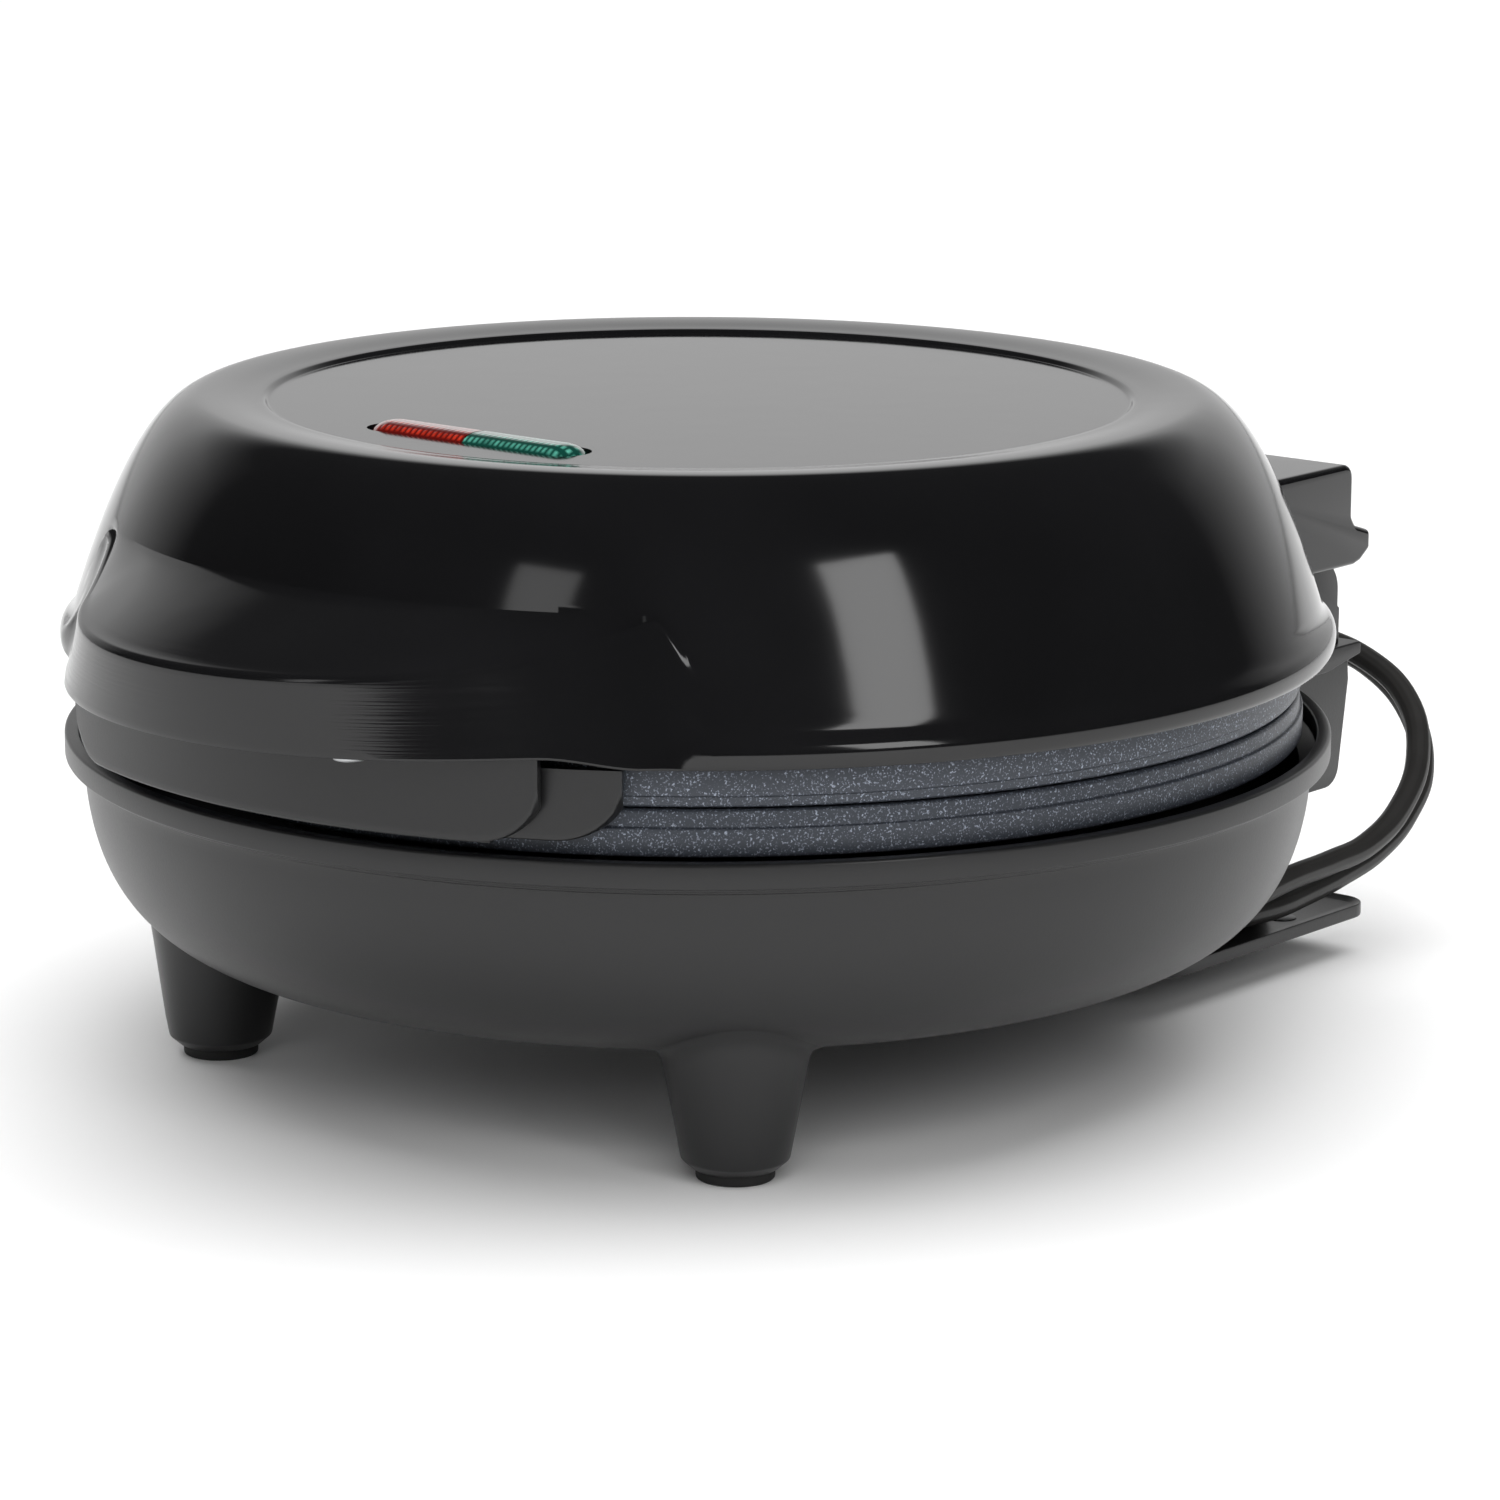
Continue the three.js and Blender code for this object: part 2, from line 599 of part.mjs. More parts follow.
function upperHousing() {
  const shell = ledge(LEDGE_HALF_ANGLE, 0, LEDGE_BOTTOM);
  const pocket = ledge(LEDGE_HALF_ANGLE * 0.74, WALL, LEDGE_BOTTOM - 4);
  let body = shell.subtract(pocket);
  const [screwX, screwY] = handleScrewPlace();
  const flangeTop = LEDGE_BOTTOM + 0.6 + GRIP_FLANGE;
  for (const side of [-1, 1]) {
    const boss = drum(3.6, flangeTop + GAP, LID_TOP).translate([side * screwX, screwY, 0]);
    const bore = drum(HANDLE_SCREW_RADIUS + GAP, LEDGE_BOTTOM, flangeTop + 8);
    body = body.add(boss.intersect(shell)).subtract(bore.translate([side * screwX, screwY, 0]));
  }
  body = body.add(lidEnvelope(0)).subtract(lidHollow());
  const postBottom = UPPER_FACE + PLATE_THICKNESS + GAP;
  const inside = lidEnvelope(-WALL / 2);
  for (const angle of POST_ANGLES) {
    const [x, y] = polar(POST_PITCH, angle);
    const post = drum(POST_RADIUS, LID_EDGE + WALL, LID_TOP).translate([x, y, 0]).intersect(inside);
    const tip = drum(POST_RADIUS, postBottom, LID_EDGE + WALL + 1).translate([x, y, 0]);
    const bore = drum(SCREW_RADIUS + GAP, postBottom - 1, postBottom + SCREW_LENGTH);
    body = body.add(post.add(tip)).subtract(bore.translate([x, y, 0]));
  }
  const window = raised(pill(WINDOW_LENGTH, WINDOW_WIDTH), LID_TOP - 20, LID_TOP + 5);
  return body.subtract(window.translate([0, WINDOW_Y, 0]));
}

// ---- Lower half of the handle ----

function ringWall(outer, thickness, bottom, top) {
  const inner = outer - thickness;
  return turned([[inner, bottom], [outer, bottom], [outer, top], [inner, top]]);
}

function frontFace(halfWidth, bottom, top, corner) {
  return acrossY(roundedBox(-halfWidth, bottom, halfWidth, top, corner, 0.01), -200, 0);
}

function lowerHandle() {
  const flangeBottom = LEDGE_BOTTOM + 0.6;
  const flangeTop = flangeBottom + GRIP_FLANGE;
  const floorTop = GRIP_BOTTOM + GRIP_WALL;
  const backInner = GRIP_BACK_RADIUS - GRIP_WALL;
  const frontTop = LEDGE_BOTTOM - GAP;
  const frontWindow = frontFace(GRIP_FRONT_HALF_WIDTH, GRIP_BOTTOM, frontTop, GRIP_CORNER);
  const neckWindow = frontFace(GRIP_NECK_HALF_WIDTH, 0, LID_TOP, 0.01);
  const backWindow = frontFace(GRIP_BACK_HALF_WIDTH, GRIP_BOTTOM, LID_EDGE - 0.4, GRIP_CORNER);
  // The floor and the neck run half-way into the walls they join.
  const front = ringWall(GRIP_FRONT_RADIUS, GRIP_WALL, GRIP_BOTTOM - 1, LEDGE_BOTTOM);
  const back = ringWall(GRIP_BACK_RADIUS, GRIP_WALL, GRIP_BOTTOM - 1, LID_EDGE);
  const bite = GRIP_WALL / 2;
  const floorSpan = GRIP_FRONT_RADIUS - backInner - 2 * bite;
  const floor = ringWall(GRIP_FRONT_RADIUS - bite, floorSpan, GRIP_BOTTOM + 0.1, floorTop);
  const floorWindow = frontFace(GRIP_FRONT_HALF_WIDTH - GRIP_CORNER, 0, frontTop, 0.01);
  const neck = ringWall(GRIP_FRONT_RADIUS - 0.3, GRIP_WALL - 0.6, floorTop, flangeTop - 0.1);
  const plan = [];
  for (let i = -6; i <= 6; i += 1) {
    const angle = (i / 6) * GRIP_FLANGE_HALF_ANGLE;
    const skirt = (ledgeFootRadius(angle) + ledgeTopRadius(angle)) / 2 - WALL;
    plan.push(polar(skirt - 2 * GAP, angle));
  }
  for (let i = 6; i >= -6; i -= 1) {
    plan.push(polar(GRIP_FRONT_RADIUS - bite, (i / 6) * GRIP_FLANGE_HALF_ANGLE));
  }
  const flange = raised(polygon(plan), flangeBottom, flangeTop);
  let handle = front.intersect(frontWindow).add(neck.intersect(neckWindow));
  handle = handle.add(floor.intersect(floorWindow));
  handle = handle.add(back.intersect(backWindow)).add(flange);
  const [screwX, screwY] = handleScrewPlace();
  for (const side of [-1, 1]) {
    const bore = drum(HANDLE_SCREW_RADIUS + GAP, flangeBottom - 1, flangeTop + 1);
    handle = handle.subtract(bore.translate([side * screwX, screwY, 0]));
  }
  return handle;
}

// ---- Hinge ----

function hingeCover() {
  const y = HINGE_Y;
  const z = HINGE_Z;
  const outer = acrossX([
    [y - 40, z - 0.6], [y + 9.5, z - 0.6], [y + 11.5, z - 0.1], [y + COVER_LIP, z + 1.9],
    [y + COVER_LIP, z + 5.3], [y + COVER_REAR + 1.2, z + 7.2], [y + COVER_REAR, z + 8.6],
    [y + COVER_REAR, z + COVER_TOP - 2], [y + COVER_REAR - 0.8, z + COVER_TOP - 0.8],
    [y + COVER_REAR - 2.8, z + COVER_TOP], [y - 40, z + COVER_TOP],
  ], -REAR_HALF_WIDTH, REAR_HALF_WIDTH);
  const innerHalf = REAR_HALF_WIDTH - COVER_SIDE_WALL;
  const hollow = acrossX([
    [y - 45, z - 5], [y + COVER_REAR - COVER_WALL, z - 5],
    [y + COVER_REAR - COVER_WALL, z + COVER_TOP - COVER_WALL], [y - 45, z + COVER_TOP - COVER_WALL],
  ], -innerHalf, innerHalf);
  let cover = outer.subtract(hollow).subtract(lidEnvelope(GAP));
  const earInner = EAR_OUTER - EAR_WIDTH;
  for (const side of [-1, 1]) {
    const x0 = side > 0 ? earInner - GAP : -innerHalf;
    const x1 = side > 0 ? innerHalf : GAP - earInner;
    const notch = block(x0, y + 4, z - 3, x1, y + COVER_LIP + 2, z + EAR_REAR + 1.6);
    cover = cover.subtract(notch);
  }
  return cover;
}

// Half of the lid's hinge: a knuckle round the pin with a web up under the cover's top.
function hingeArm(side) {
  const inner = EAR_OUTER - EAR_WIDTH - GAP - ARM_WIDTH;
  const outer = inner + ARM_WIDTH;
  const [x0, x1] = side > 0 ? [inner, outer] : [-outer, -inner];
  const knuckle = rodX(ARM_RADIUS, x0, x1, HINGE_Y, HINGE_Z);
  const top = HINGE_Z + COVER_TOP - COVER_WALL - GAP;
  const web = block(x0, HINGE_Y - ARM_RADIUS, HINGE_Z, x1, HINGE_Y + ARM_RADIUS, top);
  const bore = rodX(PIN_RADIUS + GAP, x0 - 1, x1 + 1, HINGE_Y, HINGE_Z);
  return knuckle.add(web).subtract(bore);
}

function hingePin(side) {
  const shankEnd = EAR_OUTER;
  const headStart = EAR_OUTER - EAR_WIDTH - ARM_WIDTH - 2 * GAP;
  const shank = rodX(PIN_RADIUS, headStart - 0.5, shankEnd, 0, 0);
  const head = rodX(PIN_HEAD_RADIUS, headStart - PIN_HEAD, headStart, 0, 0);
  const pin = shank.add(head);
  return side > 0 ? pin : pin.rotate([0, 0, 180]);
}

// ---- Rear bracket and cord post ----

function rearBracket() {
  const r = RIM_RADIUS;
  const outline = [
    [r - 50, BLOCK_BOTTOM], [r + 2.8, BLOCK_BOTTOM], [r + 5.6, BLOCK_BOTTOM + 1.2],
    [r + 6.8, BLOCK_BOTTOM + 4], [BLOCK_REAR, TAB_TOP - 6.8], [BLOCK_REAR - 0.4, TAB_TOP - 2.7],
    [TAB_REAR, TAB_TOP - TAB_EDGE], [TAB_REAR, TAB_TOP], [r - 50, TAB_TOP],
  ];
  let bracket = acrossX(outline, -REAR_HALF_WIDTH, REAR_HALF_WIDTH);
  const ear = [
    [HINGE_Y - EAR_RADIUS, TAB_TOP - 4], [HINGE_Y + EAR_REAR, TAB_TOP - 4],
    [HINGE_Y + EAR_REAR, HINGE_Z - 5.5], [HINGE_Y + EAR_REAR - 0.6, HINGE_Z - 3],
    [HINGE_Y + EAR_REAR - 1.8, HINGE_Z - 0.9],
  ];
  for (let i = 0; i <= 8; i += 1) {
    const a = (i / 8) * Math.PI;
    ear.push([HINGE_Y + EAR_RADIUS * Math.cos(a), HINGE_Z + EAR_RADIUS * Math.sin(a)]);
  }
  for (const side of [-1, 1]) {
    const [x0, x1] = side > 0 ? [EAR_OUTER - EAR_WIDTH, EAR_OUTER] : [-EAR_OUTER, EAR_WIDTH - EAR_OUTER];
    const bore = rodX(PIN_RADIUS + GAP, x0 - 1, x1 + 1, HINGE_Y, HINGE_Z);
    bracket = bracket.add(acrossX(ear, x0, x1)).subtract(bore);
    const hole = drum(SCREW_RADIUS + GAP, BLOCK_BOTTOM - 1, BLOCK_BOTTOM + 9);
    bracket = bracket.subtract(hole.translate([side * WRAP_SCREW_X, WRAP_SCREW_Y, 0]));
  }
  bracket = bracket.subtract(rodY(CORD_BORE, r - 30, TAB_REAR + 5, CORD_EXIT_X, CORD_EXIT_Z));
  return bracket.subtract(bowlEnvelope(GAP));
}

function cordWrap() {
  const plateTop = WRAP_PLATE_BOTTOM + WRAP_PLATE_THICKNESS;
  const w = REAR_HALF_WIDTH;
  const plate = raised(
    roundedBox(-w, WRAP_PLATE_FRONT, w, WRAP_PLATE_REAR, WRAP_PLATE_FRONT_CORNER, WRAP_PLATE_REAR_CORNER),
    WRAP_PLATE_BOTTOM,
    plateTop,
  );
  const postShape = roundedBox(
    -WRAP_POST_HALF_WIDTH, WRAP_POST_FRONT, WRAP_POST_HALF_WIDTH, WRAP_POST_REAR,
    WRAP_POST_CORNER, WRAP_POST_CORNER,
  );
  const post = raised(postShape, plateTop - 0.5, BLOCK_BOTTOM - GAP);
  let wrap = plate.add(post);
  for (const side of [-1, 1]) {
    const channel = turned([
      [0, WRAP_PLATE_BOTTOM - 1], [4, WRAP_PLATE_BOTTOM - 1], [4, WRAP_SCREW_HEAD_Z],
      [SCREW_RADIUS + GAP, WRAP_SCREW_HEAD_Z], [SCREW_RADIUS + GAP, BLOCK_BOTTOM + 1],
      [0, BLOCK_BOTTOM + 1],
    ], ROUND_SMALL);
    wrap = wrap.subtract(channel.translate([side * WRAP_SCREW_X, WRAP_SCREW_Y, 0]));
  }
  return wrap.subtract(bowlEnvelope(GAP));
}

// ---- Feet ----

function longFoot(x, y) {
  const start = PAD_HEIGHT + GAP;
  const body = turned([
    [0, start], [PAD_RADIUS + 0.7, start], [FOOT_BOTTOM_RADIUS, start + 2],
    [FOOT_TOP_RADIUS, BOWL_BOTTOM + 1], [FOOT_TOP_RADIUS + 2, BOWL_BOTTOM + 7],
    [FOOT_TOP_RADIUS + 2, BOWL_BOTTOM + 16], [0, BOWL_BOTTOM + 16],
  ], 24);
  return body.translate([x, y, 0]).subtract(bowlEnvelope(GAP));
}

function shortFoot() {
  const start = PAD_HEIGHT + GAP;
  return turned([
    [0, start], [PAD_RADIUS + 0.7, start], [FOOT_BOTTOM_RADIUS, start + 1.5],
    [FOOT_BOTTOM_RADIUS, WRAP_PLATE_BOTTOM - GAP], [0, WRAP_PLATE_BOTTOM - GAP],
  ], 16);
}

function footPad() {
  return drum(PAD_RADIUS, 0, PAD_HEIGHT, 16);
}

// ---- Indicator lamps ----

function lensHalf(side) {
  const whole = pill(WINDOW_LENGTH - 2 * LENS_END_GAP - 2, WINDOW_WIDTH - 2 * GAP - 2);
  const bottom = LID_TOP - RECESS_DEPTH - WALL - 1.6;
  const top = LID_TOP - RECESS_DEPTH + LENS_RISE;
  const options = {
    depth: top - bottom - 2, curveSegments: 5,
    bevelThickness: 1, bevelSize: 1, bevelSegments: 2,
  };
  const geometry = new THREE.ExtrudeGeometry(whole, options).translate(0, WINDOW_Y, bottom + 1);
  const reach = WINDOW_LENGTH;
  const [x0, x1] = side > 0 ? [GAP / 2, reach] : [-reach, -GAP / 2];
  return solidOf(geometry).intersect(block(x0, WINDOW_Y - 20, bottom - 1, x1, WINDOW_Y + 20, top + 1));
}

function lampHolder() {
  const top = LID_TOP - RECESS_DEPTH - WALL - 1.6 - GAP;
  const half = WINDOW_LENGTH / 2 + 1;
  const depth = WINDOW_WIDTH / 2 + 2;
  const tray = block(-half, WINDOW_Y - depth, top - 9, half, WINDOW_Y + depth, top);
  const well = half - 1.5;
  const open = block(-well, WINDOW_Y - depth + 1.5, top - 7.5, well, WINDOW_Y + depth - 1.5, top + 1);
  return tray.subtract(open).add(block(-0.75, WINDOW_Y - depth, top - 9, 0.75, WINDOW_Y + depth, top));
}

// ---- Mains lead, strain relief and plug ----

function strainRelief() {
  const face = BLOCK_REAR + GAP;
  const tip = RELIEF_TIP_Y;
  const start = Math.min(face + 3, tip - RELIEF_LENGTH * 0.8);
  const outline = [
    [0, -tip], [RELIEF_TIP_RADIUS, -tip], [5.2, -start], [6.4, -start], [6.4, -face],
    [CORD_BORE - GAP, -face], [CORD_BORE - GAP, -(face - 8)], [0, -(face - 8)],
  ];
  const relief = turned(outline, 16).rotate([90, 0, 0]);
  return relief.translate([CORD_EXIT_X, 0, CORD_EXIT_Z]);
}

function plugBody() {
  const outline = new THREE.Shape();
  const w = PLUG_WIDTH / 2;
  const h = PLUG_HEIGHT / 2;
  outline.moveTo(w, 0);
  outline.lineTo(w * 0.55, h);
  outline.lineTo(-w * 0.55, h);
  outline.lineTo(-w, 0);
  outline.lineTo(-w * 0.55, -h);
  outline.lineTo(w * 0.55, -h);
  const front = new THREE.ExtrudeGeometry(outline, { depth: PLUG_LENGTH, bevelEnabled: false });
  const head = solidOf(front.rotateX(Math.PI / 2).rotateZ(Math.PI / 2));
  const neck = rodX(PLUG_NECK_RADIUS, 0, PLUG_NECK + 1, 0, 0);
  return neck.add(head.translate([PLUG_NECK, 0, 0]));
}

// ---- Assembly ----

const donutMaker = new THREE.Group();
const base = new THREE.Group();
const lid = new THREE.Group();
const lead = new THREE.Group();
donutMaker.add(base, lid, lead);

piece(base, "lower_housing", lowerHousing(), "satin");
piece(base, "rear_bracket", rearBracket(), "satin");
piece(base, "cord_wrap", cordWrap(), "satin");

const SIDES = [["left", -1], ["right", 1]];
for (const [name, side] of SIDES) {
  const [x, y] = polar(FOOT_PITCH, side * FOOT_ANGLE);
  piece(base, `foot_${name}`, longFoot(x, y), "satin");
  piece(base, `foot_pad_${name}`, footPad(), "rubber", [x, y, 0]);
  piece(base, `hinge_pin_${name}`, hingePin(side), "steel", [0, HINGE_Y, HINGE_Z]);
  const screwPlace = [side * WRAP_SCREW_X, WRAP_SCREW_Y, WRAP_SCREW_HEAD_Z - GAP];
  piece(base, `wrap_screw_${name}`, plateScrew(), "steel", screwPlace);
  piece(lid, `hinge_arm_${name}`, hingeArm(side), "satin");
  const [screwX, screwY] = handleScrewPlace();
  const handleScrew = screw(HANDLE_SCREW_RADIUS, 3, 1.8, 9);
  const under = LEDGE_BOTTOM + 0.6 - GAP;
  piece(lid, `handle_screw_${name}`, handleScrew, "steel", [side * screwX, screwY, under]);
}
piece(base, "foot_rear", shortFoot(), "satin", [0, REAR_FOOT_Y, 0]);
piece(base, "foot_pad_rear", footPad(), "rubber", [0, REAR_FOOT_Y, 0]);

const plate = cookingPlate();
piece(base, "lower_plate", plate.translate([0, 0, LOWER_FACE]), "plate");
piece(lid, "upper_plate", plate.rotate([180, 0, 0]).translate([0, 0, UPPER_FACE]), "plate");
POST_ANGLES.forEach((angle, i) => {
  const [x, y] = polar(POST_PITCH, angle);
  const down = plateScrew().rotate([180, 0, 0]);
  const headSink = SCREW_HEAD_HEIGHT;
  piece(base, `lower_plate_screw_${i + 1}`, down, "steel", [x, y, LOWER_FACE - headSink]);
  piece(lid, `upper_plate_screw_${i + 1}`, plateScrew(), "steel", [x, y, UPPER_FACE + headSink]);
});

const lowerElementZ = LOWER_FACE - MOULD_BACK - GAP - ELEMENT_RADIUS;
const upperElementZ = UPPER_FACE + MOULD_BACK + GAP + ELEMENT_RADIUS;
const lowerReflectorZ = lowerElementZ - REFLECTOR_STANDOFF - REFLECTOR_THICKNESS;
const upperReflectorZ = upperElementZ + REFLECTOR_STANDOFF;
piece(base, "lower_element", heatingElement(lowerElementZ), "steel");
piece(lid, "upper_element", heatingElement(upperElementZ), "steel");
piece(base, "lower_reflector", reflector(lowerReflectorZ, 3), "steel");
piece(lid, "upper_reflector", reflector(upperReflectorZ, -3), "steel");
piece(base, "thermal_fuse", rodX(2.2, -9, 9, 0, lowerElementZ), "ceramic");
const thermostatBottom = UPPER_FACE + MOULD_BACK + GAP;
const thermostatTop = upperReflectorZ - GAP;
piece(lid, "thermostat", drum(THERMOSTAT_RADIUS, thermostatBottom, thermostatTop, 16), "steel");
const blockTop = lowerReflectorZ - 3;
piece(base, "terminal_block", block(-14, 62, BOWL_BOTTOM + WALL + GAP, 14, 74, blockTop), "ceramic");
const leadEnd = BLOCK_REAR - 8;
piece(base, "inner_lead", tube([
  [CORD_EXIT_X, leadEnd, CORD_EXIT_Z], [CORD_EXIT_X, leadEnd - 10, CORD_EXIT_Z],
  [CORD_EXIT_X, leadEnd - 18, CORD_EXIT_Z - 4], [CORD_EXIT_X / 2, leadEnd - 26, CORD_EXIT_Z - 10],
  [0, 82, CORD_EXIT_Z - 13], [0, 74 + GAP, CORD_EXIT_Z - 13],
], CORD_RADIUS, 12, CORD_SIDES), "cord");
piece(lid, "upper_lead", tube([
  [0, 0, upperReflectorZ + 8], [0, 25, upperReflectorZ + 7], [0, 60, upperReflectorZ + 6],
  [0, 85, upperReflectorZ + 2], [0, 96, upperReflectorZ - 3],
], 2, 12, CORD_SIDES), "cord");

piece(lid, "upper_housing", upperHousing(), "gloss");
piece(lid, "lower_handle", lowerHandle(), "satin");
piece(lid, "hinge_cover", hingeCover(), "gloss");
piece(lid, "lens_power", lensHalf(-1), "red");
piece(lid, "lens_ready", lensHalf(1), "green");
piece(lid, "lamp_holder", lampHolder(), "ceramic");
const lampZ = LID_TOP - RECESS_DEPTH - WALL - 6;
piece(lid, "lamp_power", rodX(2.3, -18, -5, WINDOW_Y, lampZ), "red");
piece(lid, "lamp_ready", rodX(2.3, 5, 18, WINDOW_Y, lampZ), "green");

piece(base, "strain_relief", strainRelief(), "rubber");
piece(lead, "cord", tube(CORD_ROUTE, CORD_RADIUS, CORD_STEPS, CORD_SIDES), "cord");
const [plugX, plugY, plugZ] = PLUG_START;
piece(lead, "plug_body", plugBody(), "cord", [plugX + GAP, plugY, plugZ]);
for (const [name, side] of SIDES) {
  const start = plugX + PLUG_NECK + PLUG_LENGTH + 2 * GAP;
  const pin = rodX(PLUG_PIN_RADIUS, 0, PLUG_PIN_LENGTH, 0, 0);
  const place = [start, plugY + (side * PLUG_PIN_SPACING) / 2, plugZ];
  piece(lead, `plug_pin_${name}`, pin, "brass", place);
}

export default donutMaker;
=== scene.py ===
"""A round electric donut maker with a hinged lid, dressed for rendering.

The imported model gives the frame: where each part is and how it moves. This script builds the
fine skins that stand for the parts that show, and gives every part its finish. Outlines are
in millimetres and become metres when a mesh is made.
"""

from __future__ import annotations

import json
import logging
import math
from collections.abc import Iterable, Sequence
from dataclasses import dataclass, field
from enum import Enum

import bmesh
import bpy
from mathutils import Matrix, Vector

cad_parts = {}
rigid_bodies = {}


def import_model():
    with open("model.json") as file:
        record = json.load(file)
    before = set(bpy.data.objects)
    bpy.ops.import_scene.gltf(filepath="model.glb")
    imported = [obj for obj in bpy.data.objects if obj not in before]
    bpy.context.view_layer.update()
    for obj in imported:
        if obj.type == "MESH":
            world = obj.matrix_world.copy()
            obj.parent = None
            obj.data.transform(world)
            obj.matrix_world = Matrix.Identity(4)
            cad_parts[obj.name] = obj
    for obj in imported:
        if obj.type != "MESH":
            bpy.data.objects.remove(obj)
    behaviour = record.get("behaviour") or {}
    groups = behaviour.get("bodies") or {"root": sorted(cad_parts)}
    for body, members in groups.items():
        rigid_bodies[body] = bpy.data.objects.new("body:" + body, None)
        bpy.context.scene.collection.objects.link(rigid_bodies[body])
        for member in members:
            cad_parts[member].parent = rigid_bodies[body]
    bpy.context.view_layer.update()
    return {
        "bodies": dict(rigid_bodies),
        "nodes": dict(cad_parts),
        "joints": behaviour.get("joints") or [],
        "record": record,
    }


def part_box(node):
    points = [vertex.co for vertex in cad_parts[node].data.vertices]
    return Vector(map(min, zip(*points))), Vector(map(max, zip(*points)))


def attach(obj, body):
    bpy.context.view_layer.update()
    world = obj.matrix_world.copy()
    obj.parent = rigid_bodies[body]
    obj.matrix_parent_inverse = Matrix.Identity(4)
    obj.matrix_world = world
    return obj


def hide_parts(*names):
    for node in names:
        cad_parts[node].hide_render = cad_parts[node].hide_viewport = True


LOG = logging.getLogger("donut_maker")
MM = 0.001
LID_HEIGHT = 42.7
RECESS_REACH = 13.6
PLATE_SCREW_ANGLES = (30, 150, 270)
Colour = tuple[float, float, float]
Outline = list[tuple[float, float]]


# ---------------------------------------------------------------- shader maths


class Signal:
    """A shader value that takes part in Python arithmetic."""

    def __init__(self, board: Board, socket: bpy.types.NodeSocket) -> None:
        """Wrap one output socket of a board's node."""
        self.board = board
        self.socket = socket

    def _with(self, operation: str, first: Signal | float, second: Signal | float) -> Signal:
        """Add the Math node for one operation on two values."""
        inputs = {0: first, 1: second}
        return self.board.node("ShaderNodeMath", {"operation": operation}, inputs)

    def __add__(self, other: Signal | float) -> Signal:
        """Return the sum."""
        return self._with("ADD", self, other)

    __radd__ = __add__

    def __sub__(self, other: Signal | float) -> Signal:
        """Return the difference."""
        return self._with("SUBTRACT", self, other)

    def __rsub__(self, other: float) -> Signal:
        """Return a number less this value."""
        return self._with("SUBTRACT", other, self)

    def __mul__(self, other: Signal | float) -> Signal:
        """Return the product."""
        return self._with("MULTIPLY", self, other)

    __rmul__ = __mul__

    def __pow__(self, other: float) -> Signal:
        """Return this value to a power."""
        return self._with("POWER", self, other)

    def above(self, limit: float) -> Signal:
        """Return 1 where this value is over the limit and 0 elsewhere."""
        return self._with("GREATER_THAN", self, limit)

    def sine(self) -> Signal:
        """Return the sine of this value in radians."""
        return self.board.node("ShaderNodeMath", {"operation": "SINE"}, {0: self})

    def ramp(self, low: float, high: float) -> Signal:
        """Return 0 below low, 1 above high and a straight line between."""
        inputs = {"Value": self, "From Min": low, "From Max": high}
        return self.board.node("ShaderNodeMapRange", {"clamp": True}, inputs)


class Board:
    """The node tree of one material."""

    def __init__(self, name: str) -> None:
        """Make an empty material with that name."""
        self.material = bpy.data.materials.new(name)
        self.material.use_nodes = True
        self.tree = self.material.node_tree
        self.tree.nodes.clear()

    def node(
        self,
        kind: str,
        settings: dict | None = None,
        inputs: dict | None = None,
        output: int | str = 0,
    ) -> Signal:
        """Add one node.

        Args:
            kind: The node's type.
            settings: Its properties; "stops" are a ramp's (place, colour) pairs.
            inputs: Values or signals for its sockets, by name or number.
            output: The output that is wanted.

        Returns:
            That output as a signal.
        """
        made = self.tree.nodes.new(kind)
        for key, value in (settings or {}).items():
            if key == "stops":
                ramp = made.color_ramp
                for place, _ in value[2:]:
                    ramp.elements.new(place)
                for element, (place, colour) in zip(ramp.elements, sorted(value)):
                    element.position = place
                    element.color = (*colour, 1.0)
            else:
                setattr(made, key, value)
        for key, value in (inputs or {}).items():
            if isinstance(value, Signal):
                self.tree.links.new(value.socket, made.inputs[key])
            else:
                made.inputs[key].default_value = value
        return Signal(self, made.outputs[output])

    def mix(self, factor: Signal, first: Colour, second: Colour) -> Signal:
        """Blend two colours by a factor."""
        inputs = {0: factor, 6: (*first, 1.0), 7: (*second, 1.0)}
        settings = {"data_type": "RGBA"}
        return self.node("ShaderNodeMix", settings, inputs, output=2)

    def place(self) -> Signal:
        """Return the place on the object, in metres."""
        return self.node("ShaderNodeTexCoord", output="Object")

    def axes(self) -> tuple[Signal, Signal, Signal]:
        """Return the place's X, Y and Z."""
        place = self.place()
        inputs = {"Vector": place}
        return tuple(self.node("ShaderNodeSeparateXYZ", None, inputs, axis) for axis in "XYZ")

    def noise(self, size: float, detail: float = 3.0, stretch: Colour = (1, 1, 1)) -> Signal:
        """Return noise from 0 to 1.

        Args:
            size: The size of its blotches, in metres.
            detail: How many finer octaves it has.
            stretch: How many times finer it is along X, Y and Z.

        Returns:
            The noise.
        """
        inputs = {"Vector": self.place(), "Scale": stretch}
        scaled = self.node("ShaderNodeMapping", None, inputs)
        inputs = {"Vector": scaled, "Scale": 1.0 / size, "Detail": detail}
        return self.node("ShaderNodeTexNoise", None, inputs)

    def bump(self, height: Signal, depth: float) -> Signal:
        """Turn a height from 0 to 1 into a normal, for a relief of that depth in metres."""
        inputs = {"Height": height, "Distance": depth, "Strength": 1.0}
        return self.node("ShaderNodeBump", None, inputs)

    def finish(self, inputs: dict) -> bpy.types.Material:
        """Add the surface shader with those inputs and return the material."""
        shader = self.node("ShaderNodeBsdfPrincipled", None, inputs)
        end = self.tree.nodes.new("ShaderNodeOutputMaterial")
        self.tree.links.new(shader.socket, end.inputs["Surface"])
        return self.material


# ---------------------------------------------------------------- finishes


